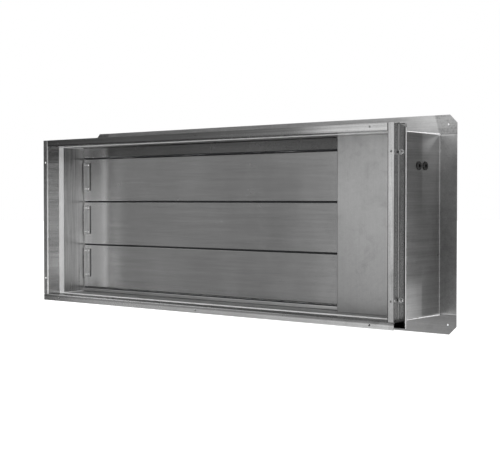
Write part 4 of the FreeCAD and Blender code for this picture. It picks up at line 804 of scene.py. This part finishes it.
class DAMPER_OT_casing(DressingOperator):
    """Finish the four casing panels"""

    bl_idname = "damper.casing"
    bl_label = "Casing panels"

    def execute(self, context):
        sheet = settings().sheet
        # Painted light and shade: marks on the top, left and right panels, and shade ramps that
        # darken the bottom panel towards the drive and the right panel towards the rear
        dress(["casing_top_panel"],
              sheet_look("casing_top_sheet", sheet.casing, X, streaky=0.9, marks=top_flange_painted_light))
        dress(["casing_bottom_panel"],
              sheet_look("casing_bottom_sheet", sheet.casing, X, streaky=0.6,
                         shade_ramp=(X, 200, 550, 0.42)))
        dress(["casing_left_panel"],
              sheet_look("casing_left_sheet", sheet.casing, Z, streaky=1.3, marks=left_wall_painted_light))
        dress(["casing_right_panel"],
              sheet_look("casing_right_sheet", sheet.casing, Y, streaky=0.9,
                         shade_ramp=(Y, -150, -30, 0.66), marks=right_wall_painted_light))
        return {"FINISHED"}


class DAMPER_OT_front_frame(DressingOperator):
    """Finish the members of the front frame and the strip over the joint"""

    bl_idname = "damper.front_frame"
    bl_label = "Front frame"

    def execute(self, context):
        sheet = settings().sheet
        # Painted light and shade: each member's own grey, the shade ramps along the top and bottom
        # members, and the marks on the left, right and bottom members
        dress(["front_frame_top"],
              sheet_look("frame_top_sheet", sheet.frame_top, X, dull=-0.10, streaky=2.0,
                         stretch=0.006, shade_ramp=(X, 420, 280, 0.40)))
        dress(["front_frame_bottom"],
              sheet_look("frame_bottom_sheet", sheet.frame_bottom, X, dull=-0.06, streaky=0.9,
                         stretch=0.006, shade_ramp=(X, -350, 450, 0.5), marks=bottom_member_painted_shade))
        dress(["front_frame_left"],
              sheet_look("frame_left_sheet", sheet.frame_left, Y, dull=-0.10, marks=high_painted_shade))
        dress(["front_frame_right"],
              sheet_look("frame_right_sheet", sheet.frame_right, Z, dull=-0.10, mottle=0.5,
                         marks=right_member_painted_shade))
        dress(["joint_seal_strips"],
              dull_look("pale_strip", settings().small.strip, roughness=0.6, grain_size=1.5,
                        depth=0.05))
        return {"FINISHED"}


class DAMPER_OT_blades(DressingOperator):
    """Finish the blades, their cores, seals, clips and shafts, the stops and the brackets"""

    bl_idname = "damper.blades"
    bl_label = "Blades and stops"

    def execute(self, context):
        sheet = settings().sheet
        small = settings().small
        # Painted light and shade: the greys of the front and rear skins and of the two stops, shade
        # ramps that darken the front skins and the top stop towards the drive, the painted
        # reflection at their left ends, and the painted shadow line along the clips' edges
        front_skin = sheet_look("blade_skin_sheet", sheet.blade_front, X, dull=-0.09, streaky=0.5,
                                mottle=0.8, shade_ramp=(X, -350, 300, 0.56), marks=blade_painted_reflection)
        rear_skin = sheet_look("blade_rear_sheet", sheet.blade_rear, X, dull=-0.05, streaky=0.5,
                               mottle=0.8)
        top_stop = sheet_look("stop_sheet", sheet.top_stop, X, dull=-0.05, streaky=0.5,
                              mottle=0.6, shade_ramp=(X, 0, 340, 0.55), marks=stop_painted_reflection)
        bottom_stop = sheet_look("low_stop_sheet", sheet.bottom_stop, X, dull=0.02)
        bracket = sheet_look("bracket_sheet", sheet.bracket, Z, dull=0.02)
        clip = sheet_look("clip_sheet", sheet.clip, Z, dull=-0.02, marks=clip_edge_and_shadow)
        steel = plated_look("drawn_steel", small.steel, roughness=0.28)
        board = dull_look("fire_board", small.board, roughness=0.85, grain_size=1.0, depth=0.1)
        graphite = dull_look("graphite_seal", small.graphite, roughness=0.75, grain_size=0.8,
                             depth=0.1, mottle=0.4)
        dress(["top_blade_stop"], top_stop)
        dress(["bottom_blade_stop"], bottom_stop)
        for blade in BLADES:
            dress([f"{blade}_front_skin"], front_skin)
            dress([f"{blade}_rear_skin"], rear_skin)
            dress([f"{blade}_core"], board)
            dress([f"{blade}_edge_seals"], graphite)
            dress([f"{blade}_pivot_clip"], clip)
            dress([f"{blade}_lever"], bracket)
            dress([f"{blade}_shaft"], steel)
        dress(["link_bar", "cover_angles", "actuator_plate"], bracket)
        dress(["actuator_output_hub", "actuator_winding_socket"], steel)
        return {"FINISHED"}


class DAMPER_OT_covers(DressingOperator):
    """Finish the covers and the partition of the drive compartment"""

    bl_idname = "damper.covers"
    bl_label = "Compartment covers"

    def execute(self, context):
        # Painted shade: the covers darken towards the bottom
        cover = sheet_look("cover_sheet_metal", settings().sheet.cover, Z, dull=0.04,
                           streaky=0.18, mottle=1.3, shade_ramp=(Z, 80, -200, 0.76))
        dress(["compartment_front_cover", "compartment_rear_cover", "compartment_partition"], cover)
        return {"FINISHED"}


class DAMPER_OT_drive(DressingOperator):
    """Finish the bushes, the actuator, the trip sensor and the cable grommets"""

    bl_idname = "damper.drive"
    bl_label = "Drive and sensor"

    def execute(self, context):
        small = settings().small
        dress(["blade_bushes", "trip_sensor_probe"],
              plated_look("turned_brass", small.brass, roughness=0.3))
        dress(["actuator_base", "actuator_cable_glands", "trip_sensor_housing"],
              dull_look("dark_moulding", small.dark_plastic, roughness=0.5, grain_size=0.6,
                        depth=0.03))
        dress(["actuator_cover"],
              dull_look("light_moulding", small.light_plastic, roughness=0.5, grain_size=0.6,
                        depth=0.03))
        dress(["trip_sensor_button"],
              dull_look("red_moulding", small.red_plastic, roughness=0.3, grain_size=0.6,
                        depth=0.02))
        dress(["cable_grommets"],
              dull_look("grommet_rubber_moulding", small.rubber, roughness=0.7, grain_size=0.8,
                        depth=0.03))
        return {"FINISHED"}


class DAMPER_OT_fasteners(DressingOperator):
    """Finish the screws and pins, and make the bolts, nuts and rivets with their detail"""

    bl_idname = "damper.fasteners"
    bl_label = "Fasteners"

    def execute(self, context):
        zinc = plated_look("zinc_plate", settings().small.zinc, roughness=0.25)
        dress([node for node, slot in SLOT_OF.items() if slot == "fastener_zinc"], zinc)

        bolts, nuts = bmesh.new(), bmesh.new()
        thread = [(BOLT_RADIUS if line % 2 else THREAD_ROOT, THREAD_START + line * HALF_PITCH)
                  for line in range(THREAD_LINES)]
        shank = [(0.0, 0.0), (BOLT_RADIUS, 0.0)] + thread + BOLT_END
        for x, z in BOLTS:
            seat = (x, HEAD_SEAT, z)
            hexagon(bolts, seat, FORWARD, HEAD_HEIGHT, both_rims=False)
            turned(bolts, shank, seat, BACKWARD)
            hexagon(nuts, (x, NUT_SEAT, z), BACKWARD, NUT_HEIGHT, both_rims=True)
        new_piece("threaded_frame_bolts", bolts, zinc, "casing", "fastener_zinc", "frame_bolts")
        new_piece("chamfered_frame_nuts", nuts, zinc, "casing", "fastener_zinc", "frame_nuts")

        rivets = bmesh.new()
        for number in range(STOP_RIVET_COUNT):
            x = STOP_RIVET_START + STOP_RIVET_PITCH * number
            for y in STOP_RIVET_ROWS:
                for up in (1.0, -1.0):
                    rivet(rivets, (x, y, STOP_RIVET_SEAT * up), (0.0, 0.0, up), STOP_RIVET_SHANK,
                          capped=True)
        new_piece("blind_stop_rivets", rivets, zinc, "casing", "fastener_zinc", "stop_rivets")

        for blade, height in zip(BLADES, BLADE_HEIGHTS):
            rivets = bmesh.new()
            for x, rise, shank_length in BLADE_RIVETS:
                for out in (BACKWARD, FORWARD):
                    rivet(rivets, (x, BLADE_PLANE, height + rise), out, shank_length, capped=False)
            new_piece(f"blind_{blade}_rivets", rivets, zinc, blade, "fastener_zinc",
                      f"{blade}_rivets")
        return {"FINISHED"}


class DAMPER_OT_seams(DressingOperator):
    """Lay the mastic, the joint compound with its painted shadow line and the dark seals, and cut
    the blades' end lip
    """

    bl_idname = "damper.seams"
    bl_label = "Seams"

    def execute(self, context):
        small = settings().small
        lay_inner_corners(small)
        lay_joint(small)
        lay_outer_corners(small)
        lay_clip_beads(small)
        lay_stop_edges(small)
        cut_blade_end_lip(settings().sheet)
        return {"FINISHED"}


def stage_object(name, data):
    """An object of the studio, made of a bmesh."""
    mesh = bpy.data.meshes.new(name)
    data.to_mesh(mesh)
    data.free()
    stage = bpy.data.objects.new(name, mesh)
    bpy.context.scene.collection.objects.link(stage)
    return stage


def sees_background(look):
    """1 for rays that see the background: from the camera, in a reflection or through glass."""
    seen = look.node("ShaderNodeLightPath", output="Is Camera Ray")
    glossy = look.node("ShaderNodeLightPath", output="Is Glossy Ray")
    through = look.node("ShaderNodeLightPath", output="Is Transmission Ray")
    return seen.at_least(glossy).at_least(through)


def make_camera(studio):
    data = bpy.data.cameras.new("camera")
    data.lens = studio.lens
    data.sensor_width = studio.sensor
    data.clip_end = 100.0
    camera = bpy.data.objects.new("camera", data)
    camera.location = studio.camera_place
    level = math.radians(90.0)
    camera.rotation_euler = (level - studio.camera_tilt, 0.0, studio.camera_turn)
    bpy.context.scene.collection.objects.link(camera)
    bpy.context.scene.camera = camera


def make_floor(studio):
    """A pale round floor that glows a little more away from the damper."""
    data = bmesh.new()
    bmesh.ops.create_circle(data, cap_ends=True, segments=96, radius=studio.floor_radius,
                            matrix=Matrix.Translation((0.0, 0.0, studio.floor_height)))
    floor = stage_object("floor", data)
    look = Look("pale_floor")
    across = look.along(X)
    deep = look.along(Y)
    far = (across * across + deep * deep).rise(GLOW_START ** 2, GLOW_END ** 2)
    glow = look.mix(sees_background(look) * (far * ADDED_GLOW + NEAR_GLOW), BLACK, WHITE)
    floor.data.materials.append(look.finish(Base_Color=studio.floor_colour, Roughness=0.9,
                                            Specular_IOR_Level=0.1, Emission_Color=glow,
                                            Emission_Strength=1.0))


def make_air(studio):
    """The world: white where it is seen, and a grey light from all around."""
    world = bpy.data.worlds.new("studio")
    bpy.context.scene.world = world
    air = Look(world, "BACKGROUND")
    grey = (studio.ambient, studio.ambient, studio.ambient)
    air.finish(Color=air.mix(sees_background(air), grey, WHITE), Strength=1.0)


def soft_lamp(name, place, size, power):
    """A square lamp that points at the damper's middle and isn't seen in reflections."""
    data = bpy.data.lights.new(name, "AREA")
    data.shape = "SQUARE"
    data.size = size
    data.energy = power
    lamp = bpy.data.objects.new(name, data)
    lamp.location = place
    lamp.rotation_euler = (-Vector(place)).to_track_quat("-Z", "Y").to_euler()
    lamp.visible_glossy = False
    bpy.context.scene.collection.objects.link(lamp)


def reflecting_card(name, profile, levels):
    """A curved card that only reflections see.

    Its profile gives distance and height from the middle, in metres. Levels of grey go with
    degrees from -Y towards -X.
    """
    stops = [(math.radians(angle), level) for angle, level in levels]
    low_angle, high_angle = stops[0][0], stops[-1][0]
    toward = Vector((-math.sin(low_angle), -math.cos(low_angle), 0.0))
    data = bmesh.new()
    points = [data.verts.new(toward * distance + Vector((0.0, 0.0, height)))
              for distance, height in profile]
    edges = [data.edges.new(pair) for pair in zip(points, points[1:])]
    bmesh.ops.spin(data, geom=points + edges, cent=(0.0, 0.0, 0.0), axis=(0.0, 0.0, -1.0),
                   angle=high_angle - low_angle, steps=SPIN_STEPS, use_duplicate=False)
    card = stage_object(name, data)
    card.visible_camera = False
    card.visible_diffuse = False
    card.visible_shadow = False
    look = Look(name)
    middle = (low_angle + high_angle) / 2
    across = look.along(X) * -math.cos(middle) + look.along(Y) * math.sin(middle)
    ahead = look.along(X) * -math.sin(middle) - look.along(Y) * math.cos(middle)
    turn = across.math("ARCTAN2", across, ahead) / (high_angle - low_angle) + 0.5
    places = [((angle - low_angle) / (high_angle - low_angle), level) for angle, level in stops]
    ramp = look.node("ShaderNodeValToRGB", {"stops": places}, {0: turn})
    card.data.materials.append(look.finish(Base_Color=BLACK, Specular_IOR_Level=0.0, Roughness=1.0,
                                           Emission_Color=ramp, Emission_Strength=1.0))


class DAMPER_OT_stage(DressingOperator):
    """Make the camera, the pale floor, the air, the lamps and the reflecting cards"""

    bl_idname = "damper.stage"
    bl_label = "Studio"

    def execute(self, context):
        studio = settings().studio
        make_camera(studio)
        make_floor(studio)
        make_air(studio)
        for name, place, size, power_share in LAMPS:
            soft_lamp(name, place, size, studio.lamp_power * power_share)
        low = studio.floor_height + CARD_CLEARANCE
        for name, lies_on_floor, levels in CARDS:
            foot = [(CARD_FOOT, low)] if lies_on_floor else []
            reflecting_card(name, foot + [(CARD_DISTANCE, low), (CARD_DISTANCE, CARD_TOP)], levels)
        context.scene.view_settings.view_transform = "Standard"
        return {"FINISHED"}


OPERATORS = (
    DAMPER_OT_stage,
    DAMPER_OT_casing,
    DAMPER_OT_front_frame,
    DAMPER_OT_blades,
    DAMPER_OT_covers,
    DAMPER_OT_drive,
    DAMPER_OT_fasteners,
    DAMPER_OT_seams,
)


class DamperSettings(bpy.types.PropertyGroup):
    """All settings of the damper's looks."""

    sheet: bpy.props.PointerProperty(type=SheetFinish, name="Sheet",
                                     description="Finish of the sheet metal")
    small: bpy.props.PointerProperty(type=SmallPartFinish, name="Small pieces",
                                     description="Colours of the small pieces")
    studio: bpy.props.PointerProperty(type=StudioSettings, name="Studio",
                                      description="Camera, lamps and floor")


class DAMPER_PT_panel(bpy.types.Panel):
    """Lists the damper's operators in the sidebar"""

    bl_idname = "DAMPER_PT_panel"
    bl_label = "Fire damper"
    bl_space_type = "VIEW_3D"
    bl_region_type = "UI"
    bl_category = "Damper"

    def draw(self, context):
        for operator in OPERATORS:
            self.layout.operator(operator.bl_idname)


GROUPS = (SheetFinish, SmallPartFinish, StudioSettings, DamperSettings)


def register():
    for group in GROUPS:
        bpy.utils.register_class(group)
    bpy.types.Scene.damper = bpy.props.PointerProperty(type=DamperSettings)
    for operator in OPERATORS:
        bpy.utils.register_class(operator)
    bpy.utils.register_class(DAMPER_PT_panel)


def unregister():
    bpy.utils.unregister_class(DAMPER_PT_panel)
    for operator in reversed(OPERATORS):
        bpy.utils.unregister_class(operator)
    del bpy.types.Scene.damper
    for group in reversed(GROUPS):
        bpy.utils.unregister_class(group)


def main():
    register()
    for operator in OPERATORS:
        getattr(bpy.ops.damper, operator.bl_idname.removeprefix("damper."))()


if __name__ == "__main__":
    main()
